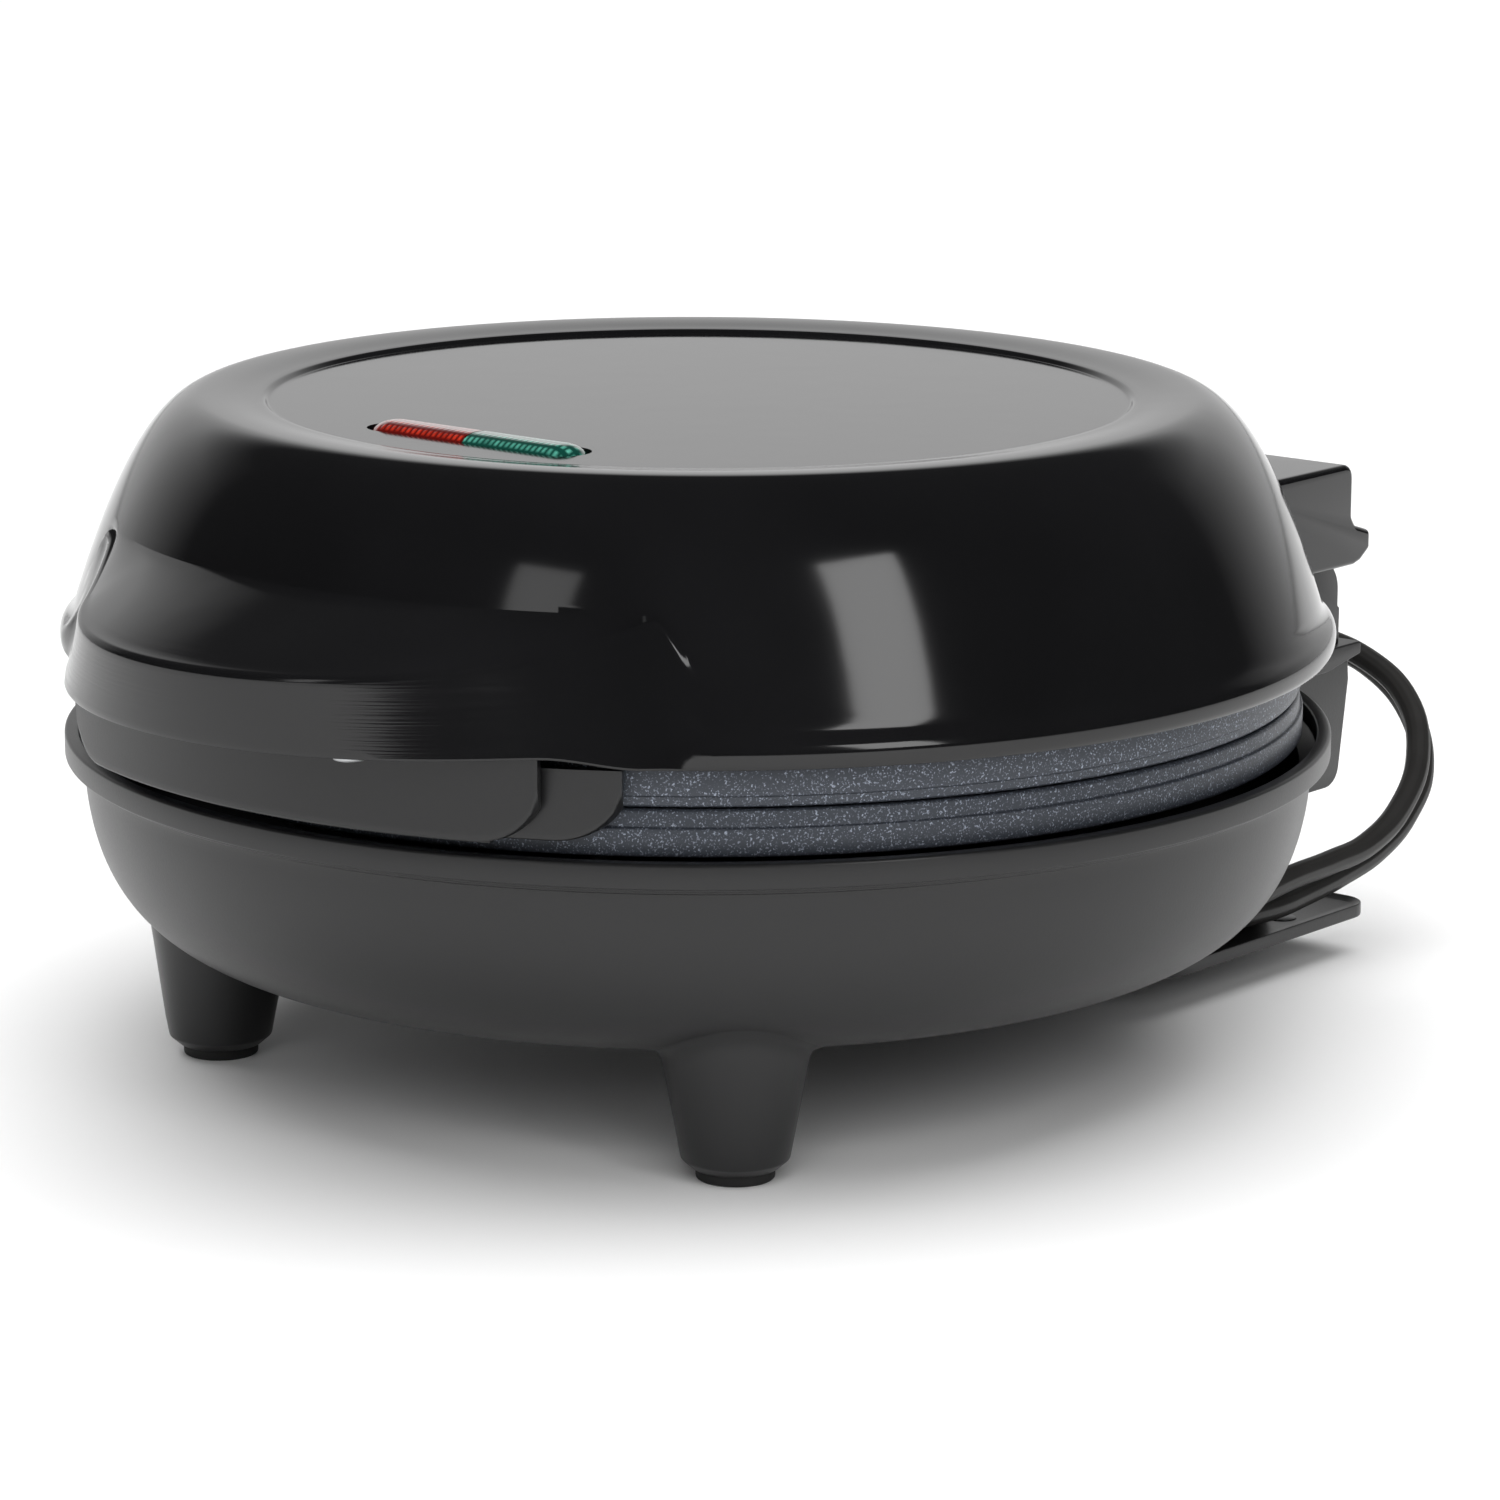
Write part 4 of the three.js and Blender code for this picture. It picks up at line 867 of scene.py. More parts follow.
@dataclass
class LidShell:
    """The glossy lid: sunken top, raised ring, shoulder, bead and handle ledge."""

    shop: Workshop
    layout: Layout
    wall: float = 2.5
    steps: int = 360
    counts: tuple[int, int, int] = (14, 6, 14)
    window: tuple[float, float] = (46.6, 9.9)
    window_y: float = -57.0
    sunk: float = 1.5
    fade: tuple[float, float] = (35.5, 41.0)

    def _outline(self, ledge: Ledge) -> tuple[Outline, int]:
        """Return the plain outline and the number of its crease point."""
        lay = self.layout
        top = lay.lid_top
        floor = top - self.sunk
        crest = lay.crest
        step = [(crest - 11.6, floor), (crest - 11.0, floor),
                (crest - 11.0, floor + 0.7), (crest - 10.2, floor + 0.76)]
        rise = [(crest - 10.2, floor + 0.76), (crest - 6.5, floor + 0.98),
                (crest - 4.6, top), (crest, top)]
        share = lay.shoulder_share(ledge.crease)
        upper = [(crest - RECESS_REACH, floor), (crest - 12.2, floor)] + bezier(step, 0, 1, 8)
        upper += bezier(rise, 0, 1, 10)[1:] + bezier(lay.shoulder, 0, share, 26)[1:]
        crease = len(upper) - 1
        edge = lay.lid_edge
        r = lay.rim_radius
        neck = [(-2.5, 8.1), (-2.1, 6.4), (-1.6, 5.6), (-0.9, 4.9)]
        bulge = [(-0.9, 4.9), (0, 4.2), (0.4, 3.4), (0.4, 2.4)]
        foot = [(0.4, 2.4), (0.4, 1.2), (0.3, 0.1), (-0.6, 0)]
        bead = bezier(neck, 0, 1, 4)[1:] + bezier(bulge, 0, 1, 5)[1:] + bezier(foot, 0, 1, 5)[1:]
        bead = [(r + out, edge + up) for out, up in [*bead, (-2.6, 0)]]
        total = sum(self.counts) + 3
        lower = bezier(lay.shoulder, share, 1, total - len(bead))[1:]
        return upper + lower + bead, crease

    def _raise_ledge(self, bm: bmesh.types.BMesh, ledge: Ledge, crease: int) -> None:
        """Draw the front of the spun lid out into the ledge."""
        station = bm.verts.layers.int["station"]
        place = self.layout.shoulder_share(ledge.crease)
        crease_z = bezier(self.layout.shoulder, place, place, 1)[0][1]
        made: dict[int, Outline] = {}
        for vert in bm.verts:
            angle = math.degrees(math.atan2(vert.co.x, -vert.co.y))
            if vert[station] <= crease or abs(angle) >= self.fade[1]:
                continue
            key = round(angle * 1000)
            if key not in made:
                near = min(abs(angle), ledge.half_angle)
                made[key] = ledge.stations(near, crease_z, self.counts)
            share = 1 - smooth_share(abs(angle), *self.fade)
            plain = Vector((vert.co.xy.length, vert.co.z)) / MM
            r, z = plain.lerp(Vector(made[key][vert[station] - crease]), share)
            vert.co = Vector((*polar(r, angle), z)) * MM

    def _fill_top(self, bm: bmesh.types.BMesh) -> None:
        """Close the sunken top round the lamp window."""
        inner = self.layout.crest - RECESS_REACH
        rim = [e for e in bm.edges if e.is_boundary and (e.verts[0].co.xy.length / MM) < inner + 1]
        z = self.layout.lid_top - self.sunk
        slot = loop_of(bm, [(x, y + self.window_y, z) for x, y in pill(*self.window)], True)
        edges = rim + [g for g in slot if isinstance(g, bmesh.types.BMEdge)]
        bmesh.ops.triangle_fill(bm, edges=edges, use_beauty=True, normal=(0, 0, 1))

    def build(self) -> None:
        """Build the lid shell."""
        ledge = Ledge(self.layout)
        outline, crease = self._outline(ledge)
        bm = bmesh.new()
        station = bm.verts.layers.int.new("station")
        chain = loop_of(bm, [(*polar(r, 0.0), z) for r, z in outline], False)
        for i, vert in enumerate(g for g in chain if isinstance(g, bmesh.types.BMVert)):
            vert[station] = i
        bmesh.ops.spin(
            bm, geom=chain, cent=(0, 0, 0), axis=(0, 0, 1), angle=math.tau,
            steps=self.steps, use_merge=True,
        )
        self._raise_ledge(bm, ledge, crease)
        self._fill_top(bm)
        bmesh.ops.recalc_face_normals(bm, faces=bm.faces)
        if sum(f.normal.z * f.calc_area() for f in bm.faces) < 0:
            bmesh.ops.reverse_faces(bm, faces=bm.faces)
        shell = self.shop.shape(bm, "lid_shell", crisp=24.0)
        wall = shell.modifiers.new("wall", "SOLIDIFY")
        wall.thickness = self.wall * MM
        wall.offset = -1.0
        self.shop.fit(shell, Finish.LID, "lid", "upper_housing")


@dataclass
class HingeCover:
    """The glossy cover over the hinge at the rear of the lid."""

    shop: Workshop
    layout: Layout
    wall: float = 2.0
    side_wall: float = 1.6

    def build(self) -> None:
        """Build the cover."""
        lay = self.layout
        y, z, half = lay.hinge_y, lay.hinge_z, lay.rear_half_width
        outline = rounded([
            (y - 40, z - 0.6), (y + 9.5, z - 0.6, 1.0), (y + 11.5, z - 0.1, 1.0),
            (y + 14.5, z + 1.9, 1.0), (y + 14.5, z + 5.3, 1.2), (y + 9.6, z + 6.8, 2.0),
            (y + 8.3, z + 8.6, 1.5), (y + 8.3, z + 18.5, 2.6), (y - 40, z + 18.5),
        ], True)
        bm = prism(outline, -half, half, "X")
        ends = [e for e in bm.edges if e.calc_face_angle() > 1.2 and abs(e.verts[0].co.x) > 0.056]
        ends = [e for e in ends if abs(e.verts[0].co.x - e.verts[1].co.x) < 1e-6]
        bmesh.ops.bevel(
            bm, geom=ends, offset=1.3 * MM, offset_type="OFFSET", affect="EDGES",
            segments=4, profile=0.5, material=-1, clamp_overlap=True,
        )
        cover = self.shop.shape(bm, "rear_hinge_cover")
        inner = half - self.side_wall
        rear = y + 8.3 - self.wall
        roof = z + 18.5 - self.wall
        room = [(y - 60, z - 9), (rear, z - 9), (rear, roof), (y - 60, roof)]
        hollow = prism(room, -inner, inner, "X")
        cutters = [lay.lid_cutter(-0.8), hollow]
        for side in (-1, 1):
            x0, x1 = sorted((side * 49.2, side * inner))
            notch = [(y + 4, z - 3), (y + 17, z - 3), (y + 17, z + 9.3), (y + 4, z + 9.3)]
            cutters.append(prism(notch, x0, x1, "X"))
        self.shop.carve(cover, cutters)
        self.shop.fit(cover, Finish.LID, "lid", "hinge_cover")


@dataclass
class Grip:
    """The satin lower half of the handle, which hangs under the ledge."""

    shop: Workshop
    layout: Layout
    wall: float = 2.0
    corner: float = 9.5

    def _round_ends(
        self, bm: bmesh.types.BMesh, half_width: float, bottom: float, top: float,
    ) -> None:
        """Lift a wall's lower corners into quarter rounds of the corner's radius."""
        for vert in bm.verts:
            past = abs(vert.co.x) / MM - (half_width - self.corner)
            if past <= 0:
                continue
            past = min(past, self.corner)
            lift = self.corner - math.sqrt(self.corner**2 - past**2)
            share = (top - vert.co.z / MM) / (top - bottom)
            vert.co.z += lift * share * MM

    def _wall(
        self, outer: float, bottom: float, top: float, half_width: float,
    ) -> bmesh.types.BMesh:
        """Return one curved wall with softened edges."""
        inner = outer - self.wall
        rows = 10
        corners = [(outer, bottom, 0.5)]
        corners += [(outer, bottom + (top - bottom) * i / rows) for i in range(1, rows)]
        corners += [(outer, top), (inner, top)]
        corners += [(inner, top - (top - bottom) * i / rows) for i in range(1, rows)]
        corners += [(inner, bottom, 0.5)]
        angle = math.degrees(math.asin(half_width / outer))
        bm = spin(rounded(corners, True, 3), 96, True, -angle, 2 * angle)
        self._round_ends(bm, half_width, bottom, top)
        return bm

    def build(self) -> None:
        """Build the grip."""
        lay = self.layout
        bottom = lay.rim_top + 2.9
        front_outer = lay.rim_radius + 3
        back_outer = lay.rim_radius - 0.8
        seat = lay.lid_edge + 2.1
        front = self._wall(front_outer, bottom, seat + 0.7, 51.3)
        back = self._wall(back_outer, bottom, lay.lid_edge - 0.2, 60.3)
        floor_angle = 23.0
        floor_outline = [
            (back_outer - 0.4, bottom), (front_outer - 0.4, bottom),
            (front_outer - 0.4, bottom + self.wall), (back_outer - 0.4, bottom + self.wall),
        ]
        floor = spin(floor_outline, 60, True, -floor_angle, 2 * floor_angle)
        ledge = Ledge(lay)
        flange_outline = [
            (front_outer - 1, seat + 0.6), (front_outer + 1, seat + 0.6),
            (front_outer + 1, seat + 2.8), (front_outer - 1, seat + 2.8),
        ]
        flange = spin(flange_outline, 60, True, -20.0, 40.0)
        for vert in flange.verts:
            if vert.co.xy.length / MM > front_outer:
                angle = math.degrees(math.atan2(vert.co.x, -vert.co.y))
                skirt = (ledge.foot_radius(angle) + ledge.top_radius(angle)) / 2 - 3.1
                vert.co.xy = Vector(polar(skirt, angle)) * MM
        bm = merge(front, back, floor, flange)
        grip = self.shop.shape(bm, "handle_grip", crisp=40.0)
        self.shop.fit(grip, Finish.BODY, "lid", "lower_handle")


@dataclass
class IndicatorLens:
    """The window's two clear caps, each with a crowned top."""

    shop: Workshop
    layout: Layout
    length: float = 44.8
    width: float = 9.3
    window_y: float = -57.0
    crown: float = 2.6

    def _half(self, side: int) -> bmesh.types.BMesh:
        """Return the cap on one side of the middle."""
        top = self.layout.lid_top - 0.2
        levels = [(0.0, top - 5.4), (0.0, top - self.crown)]
        for i in range(1, 9):
            a = math.radians(90.0 * i / 8)
            inset = (self.width / 2 - 0.7) * (1 - math.cos(a))
            levels.append((inset, top - self.crown * (1 - math.sin(a))))
        bm = bmesh.new()
        rings = []
        for inset, z in levels:
            points = pill(self.length - 2 * inset, self.width - 2 * inset)
            rings.append(loop_of(bm, [(x, y + self.window_y, z) for x, y in points], True))
        for low, high in zip(rings, rings[1:]):
            edges = [g for g in low + high if isinstance(g, bmesh.types.BMEdge)]
            bmesh.ops.bridge_loops(bm, edges=edges)
        bmesh.ops.holes_fill(bm, edges=[e for e in bm.edges if e.is_boundary], sides=0)
        plane = (side * 0.15 * MM, 0, 0)
        everything = bm.verts[:] + bm.edges[:] + bm.faces[:]
        bmesh.ops.bisect_plane(
            bm, geom=everything, plane_co=plane, plane_no=(-side, 0, 0), clear_outer=True,
        )
        bmesh.ops.holes_fill(bm, edges=[e for e in bm.edges if e.is_boundary], sides=0)
        bmesh.ops.recalc_face_normals(bm, faces=bm.faces)
        return bm

    def build(self) -> None:
        """Build both caps."""
        for name, side, finish in (("power", -1, Finish.RED), ("ready", 1, Finish.GREEN)):
            cap = self.shop.shape(self._half(side), f"lens_cap_{name}", crisp=50.0)
            self.shop.fit(cap, finish, "lid", f"lens_{name}")


# ---------------------------------------------------------------- plates


@dataclass
class CookingPlate:
    """A cast plate with seven ring moulds, built with its cooking face at height 0."""

    shop: Workshop
    layout: Layout
    thickness: float = 7.6
    pitch: float = 63.5
    sides: int = 64

    def _centres(self) -> list[tuple[float, float]]:
        """Return the middles of the moulds."""
        return [(0.0, 0.0)] + [polar(self.pitch, 60.0 * i) for i in range(6)]

    def _plane(
        self, bm: bmesh.types.BMesh, z: float, outer: float, hole: float, screws: float,
    ) -> None:
        """Fill a flat face between the edge, the moulds and the screws' sinks."""
        points = [(*polar(outer, 360.0 * i / 192), z) for i in range(192)]
        chain = loop_of(bm, points, True)
        for x, y in self._centres():
            ring = [polar(hole, 360.0 * i / self.sides) for i in range(self.sides)]
            chain += loop_of(bm, [(x + u, y + v, z) for u, v in ring], True)
        if screws:
            for angle in PLATE_SCREW_ANGLES:
                x, y = polar(self.layout.screw_circle, angle)
                ring = [polar(screws, 360.0 * i / 24) for i in range(24)]
                chain += loop_of(bm, [(x + u, y + v, z) for u, v in ring], True)
        edges = [g for g in chain if isinstance(g, bmesh.types.BMEdge)]
        normal = (0, 0, 1) if z > -1 else (0, 0, -1)
        bmesh.ops.triangle_fill(bm, edges=edges, use_beauty=True, normal=normal)

    def _mould(self) -> Outline:
        """Return the half-round groove between the mould's edge and its post."""
        groove = [(27.6, 0.0), (26.9, -0.12), (26.3, -0.55)]
        for i in range(1, 18):
            a = math.radians(6.0 + 168.0 * i / 18)
            groove.append((16.5 + 9.55 * math.cos(a), -9.0 * math.sin(a)))
        groove += [(6.7, -0.55), (6.1, -0.12), (5.4, 0.0), (0.0, 0.0)]
        return groove

    def _cast(self, step: float) -> bmesh.types.BMesh:
        """Return the whole plate, its edge stepping out at a depth below its cooking face."""
        radius = self.layout.rim_radius - 5
        bm = bmesh.new()
        self._plane(bm, 0.0, radius - 1.4, 27.6, 3.6)
        self._plane(bm, -self.thickness, radius - 1.0, 30.2, 0.0)
        edge = rounded([
            (radius - 1.4, 0.0), (radius - 0.6, 0.0, 0.6), (radius - 0.6, -step, 0.25),
            (radius, -step - 0.1, 0.3), (radius, -self.thickness, 0.7),
            (radius - 1.0, -self.thickness),
        ], segments=4)
        parts = [spin(edge, 192)]
        back = rounded([(30.2, -self.thickness), (28.9, -self.thickness, 1.0),
                        (27.2, -11.5, 3.0), (0.0, -11.5)], segments=5)
        for x, y in self._centres():
            parts.append(shifted(spin(self._mould(), self.sides), x, y, 0))
            parts.append(shifted(spin(back, self.sides), x, y, 0))
        sink = [(3.6, 0.0), (3.5, -0.15), (3.5, -2.3), (0.0, -2.3)]
        for angle in PLATE_SCREW_ANGLES:
            x, y = polar(self.layout.screw_circle, angle)
            parts.append(shifted(spin(sink, 24), x, y, 0))
        merge(bm, *parts)
        bmesh.ops.remove_doubles(bm, verts=bm.verts, dist=2e-6)
        bmesh.ops.recalc_face_normals(bm, faces=bm.faces)
        return bm

    def build(self) -> None:
        """Build the lower plate and the upper one, which faces it."""
        lower = shifted(self._cast(2.8), 0, 0, self.layout.lower_face)
        upper = shifted(turned_to(self._cast(1.8), 180, "X"), 0, 0, self.layout.upper_face)
        for name, bm, body in (("lower", lower, "base"), ("upper", upper, "lid")):
            plate = self.shop.shape(bm, f"{name}_ring_plate", crisp=40.0)
            self.shop.fit(plate, Finish.PLATE, body, f"{name}_plate")


# ---------------------------------------------------------------- base


@dataclass
class Bowl:
    """The satin lower housing with its thin rim."""

    shop: Workshop
    layout: Layout
    wall: float = 2.5

    def build(self) -> None:
        """Build the housing."""
        lay = self.layout
        r, top = lay.rim_radius, lay.rim_top
        outer = [(0.0, lay.bowl_bottom)] + lay.bowl_curve(0.0, 40)
        rim = rounded([
            outer[-1], (r - 3.1, top - 5.6, 0.15), (r - 2.5, top - 5.4, 0.2),
            (r - 2.4, top - 4.9, 0.2), (r - 1.0, top - 4.75, 0.25),
            (r - 0.9, top - 4.3, 0.15), (r, top - 4.2, 0.4),
            (r, top, 0.55), (r - self.wall, top, 0.45), (r - self.wall, top - 3.2, 0.4),
            (r - 5.4, top - 5.2),
        ], segments=4)[1:]
        inner = lay.bowl_curve(-self.wall, 24)[::-1] + [(0.0, lay.bowl_bottom + self.wall)]
        inner = [p for p in inner if p[1] < top - 5.4]
        bm = spin(outer + rim + inner, 240)
        bowl = self.shop.shape(bm, "bowl_shell", crisp=30.0)
        self.shop.fit(bowl, Finish.BODY, "base", "lower_housing")


@dataclass
class RearBracket:
    """The rear block with its tab over the cord space and the two hinge ears."""

    shop: Workshop
    layout: Layout

    def _ear(self, side: int) -> bmesh.types.BMesh:
        """Return one ear."""
        y, z = self.layout.hinge_y, self.layout.hinge_z
        outline: list[tuple] = [
            (y - 5.2, z - 17), (y + 7.7, z - 17), (y + 7.7, z - 8.5, 0.4), (y + 7.1, z - 8.0, 0.4),
            (y + 7.1, z - 3.2, 6.0), (y + 5.2, z - 0.4),
        ]
        outline = rounded(outline, True, 6)
        outline += [
            (y + 5.2 * math.cos(math.radians(a)), z + 5.2 * math.sin(math.radians(a)))
            for a in range(0, 181, 12)
        ]
        outer = self.layout.rear_half_width - 1.9
        x0, x1 = sorted((side * (outer - 5.6), side * outer))
        bm = prism(outline, x0, x1, "X")
        soften(bm, 0.5, 60.0)
        return bm

    def build(self) -> None:
        """Build the bracket."""
        lay = self.layout
        r, top, half = lay.rim_radius, lay.rim_top, lay.rear_half_width
        block = rounded([
            (r - 40, top - 24.7), (r + 6.8, top - 24.7, 4.0), (r + 9.9, top - 5.1, 1.2),
            (r + 9.5, top - 1.4), (r - 40, top - 1.4),
        ], True)
        tab = rounded([
            (r - 40, top - 2.6), (r + 2, top - 2.6), (r + 12.7, top - 0.6, 0.3),
            (r + 12.7, top + 1.7, 0.4), (r - 40, top + 1.7),
        ], True)
        pieces = []
        for outline, inset in ((block, 0.6), (tab, 0.0)):
            bm = prism(outline, -half + inset, half - inset, "X")
            soften(bm, 0.45, 60.0)
            bore = turned_to(spin([(0, -160), (3.6, -160), (3.6, -60), (0, -60)], 32), 90, "X")
            pieces.append(self.shop.carved(bm, [lay.bowl_cutter(0.1), shifted(bore, -8, 0, 45)]))
        ears = [self._ear(-1), self._ear(1)]
        bracket = self.shop.shape(merge(*pieces, *ears), "rear_hinge_bracket")
        self.shop.fit(bracket, Finish.BODY, "base", "rear_bracket")


@dataclass
class CordPost:
    """The post that the lead is wound round, with its bottom plate."""

    shop: Workshop
    layout: Layout
    lip: float = 1.6
    sink: float = 0.8

    def build(self) -> None:
        """Build the post and plate."""
        lay = self.layout
        r, half = lay.rim_radius, lay.rear_half_width
        bottom, top = 7.3, 9.9
        plate = prism(rounded_box(-half, r - 52, half, r + 19, 12, 5.5), bottom, top)
        upper = [f for f in plate.faces if f.normal.z > 0.9]
        bmesh.ops.inset_region(plate, faces=upper, thickness=self.lip * MM, use_even_offset=True)
        verts = {v for f in upper for v in f.verts}
        bmesh.ops.translate(plate, verts=list(verts), vec=(0, 0, -self.sink * MM))
        soften(plate, 0.35, 60.0)
        marks = []
        for x in (-50.0, 50.0):
            disc = rounded([(0, 8.9), (2.8, 8.9), (2.8, 9.25, 0.1), (0, 9.25)], segments=2)
            marks.append(shifted(spin(disc, 32), x, r - 1, 0))
        post = prism(rounded_box(-48, r - 27, 48, r + 7, 15, 15), bottom + 1, lay.rim_top - 25.0)
        post = self.shop.carved(post, [lay.bowl_cutter(0.1)])
        stand = self.shop.shape(merge(plate, post, *marks), "cord_post")
        self.shop.fit(stand, Finish.BODY, "base", "cord_wrap")


@dataclass
class Feet:
    """Two long front feet, the short rear one and their pads."""

    shop: Workshop
    layout: Layout
    pitch: float = 84.0
    angle: float = 44.0

    def _long(self, x: float, y: float) -> bmesh.types.BMesh:
        """Return a long foot whose flared top follows the bowl."""
        start = rounded([(0.0, 1.9), (7.1, 1.9, 0.3), (8.95, 3.5, 0.9), (9.6, 7.0)], segments=4)
        flare = [(11.9, -2.6), (12.1, -1.5), (12.45, -0.8), (13.1, -0.3), (14.2, 0.0), (16.0, 0.5)]
        mark = 100.0
        bm = spin(start + [(radius, mark + lift) for radius, lift in flare], 96)
        shifted(bm, x, y, 0)
        for vert in bm.verts:
            lift = vert.co.z / MM - mark
            if lift > -20:
                surface = self.layout.bowl_height(vert.co.xy.length / MM)
                vert.co.z = (surface + lift) * MM
        return bm

    def build(self) -> None:
        """Build the feet and pads."""
        pad = rounded([(0, 0.0), (6.5, 0.0, 0.5), (6.5, 2.1), (0, 2.1)], segments=4)
        rear = self.layout.rim_radius - 14
        short = rounded([(0, 1.9), (7.1, 1.9, 0.3), (9.0, 3.4, 0.7), (9.0, 7.4), (0, 7.4)])
        places = {"rear": (0.0, rear)}
        for name, side in (("left", -1), ("right", 1)):
            places[name] = polar(self.pitch, side * self.angle)
        for name, (x, y) in places.items():
            bm = shifted(spin(short, 64), x, y, 0) if name == "rear" else self._long(x, y)
            foot = self.shop.shape(bm, f"{name}_foot")
            self.shop.fit(foot, Finish.BODY, "base", f"foot_{name}")
            sole = self.shop.shape(shifted(spin(pad, 64), x, y, 0), f"{name}_foot_pad")
            self.shop.fit(sole, Finish.RUBBER, "base", f"foot_pad_{name}")


@dataclass
class Hardware:
    """Screws, hinge arms and hinge pins."""

    shop: Workshop
    layout: Layout

    def _screw(
        self, radius: float, head: float, height: float, length: float,
    ) -> bmesh.types.BMesh:
        """Return a cross-head screw pointing up, the underside of its head at height 0."""
        outline = rounded([
            (0, -height), (head, -height, 0.9), (head, 0, 0.2), (radius, 0),
            (radius, length - radius), (0, length),
        ], segments=3)
        arms = []
        for angle in (0, 90):
            arm = prism([(-head * 0.62, -0.45), (head * 0.62, -0.45), (head * 0.62, 0.45),
                         (-head * 0.62, 0.45)], -height - 1, -height * 0.45)
            arms.append(turned_to(arm, angle, "Z"))
        return self.shop.carved(spin(outline, 32), arms)

    def _screws(self) -> None:
        """Place all the screws."""
        lay = self.layout
        for i, angle in enumerate(PLATE_SCREW_ANGLES, 1):
            x, y = polar(lay.screw_circle, angle)
            down = turned_to(self._screw(1.7, 3.2, 2, 13), 180, "X")
            down = shifted(down, x, y, lay.lower_face - 2)
            lower = self.shop.shape(down, f"plate_screw_low_{i}")
            self.shop.fit(lower, Finish.STEEL, "base", f"lower_plate_screw_{i}")
            up = shifted(self._screw(1.7, 3.2, 2, 13), x, y, lay.upper_face + 2)
            upper = self.shop.shape(up, f"plate_screw_high_{i}")
            self.shop.fit(upper, Finish.STEEL, "lid", f"upper_plate_screw_{i}")
        for name, side in (("left", -1), ("right", 1)):
            up = shifted(self._screw(1.7, 3.2, 2, 13), side * 30, lay.rim_radius - 8, 23.7)
            post = self.shop.shape(up, f"post_screw_{name}")
            self.shop.fit(post, Finish.STEEL, "base", f"wrap_screw_{name}")
            low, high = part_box(f"handle_screw_{name}")
            x, y = (low[0] + high[0]) / 2 / MM, (low[1] + high[1]) / 2 / MM
            up = shifted(self._screw(1.5, 3, 1.8, 9), x, y, low[2] / MM + 1.8)
            grip = self.shop.shape(up, f"grip_screw_{name}")
            self.shop.fit(grip, Finish.STEEL, "lid", f"handle_screw_{name}")

    def _arms(self) -> None:
        """Place the hinge arms and pins."""
        y, z = self.layout.hinge_y, self.layout.hinge_z
        top = z + 16.2
        knuckle = [
            (y + 5 * math.cos(math.radians(a)), z + 5 * math.sin(math.radians(a)))
            for a in range(180, 361, 10)
        ]
        upright = rounded([(y + 5, z + 6), (y + 5, top, 1.5), (y - 5, top, 1.5), (y - 5, z + 6)])
        outline = knuckle + upright
        for name, side in (("left", -1), ("right", 1)):
            x0, x1 = sorted((side * 43.0, side * 49.2))
            bm = prism(outline, x0, x1, "X")
            soften(bm, 0.5, 60.0)
            arm = self.shop.shape(bm, f"hinge_arm_skin_{name}")
            self.shop.fit(arm, Finish.BODY, "lid", f"hinge_arm_{name}")
            pin_outline = rounded([
                (0, 41.1), (3.2, 41.1, 0.7), (3.2, 42.7, 0.3), (2.0, 42.7),
                (2.0, 55.0, 0.4), (0, 55.0),
            ], segments=3)
            pin = shifted(turned_to(spin(pin_outline, 32), side * 90, "Y"), 0, y, z)
            rod = self.shop.shape(pin, f"pin_{name}")
            self.shop.fit(rod, Finish.STEEL, "base", f"hinge_pin_{name}")

    def build(self) -> None:
        """Build the small metal parts and the arms."""
        self._screws()
        self._arms()


# ---------------------------------------------------------------- mains lead


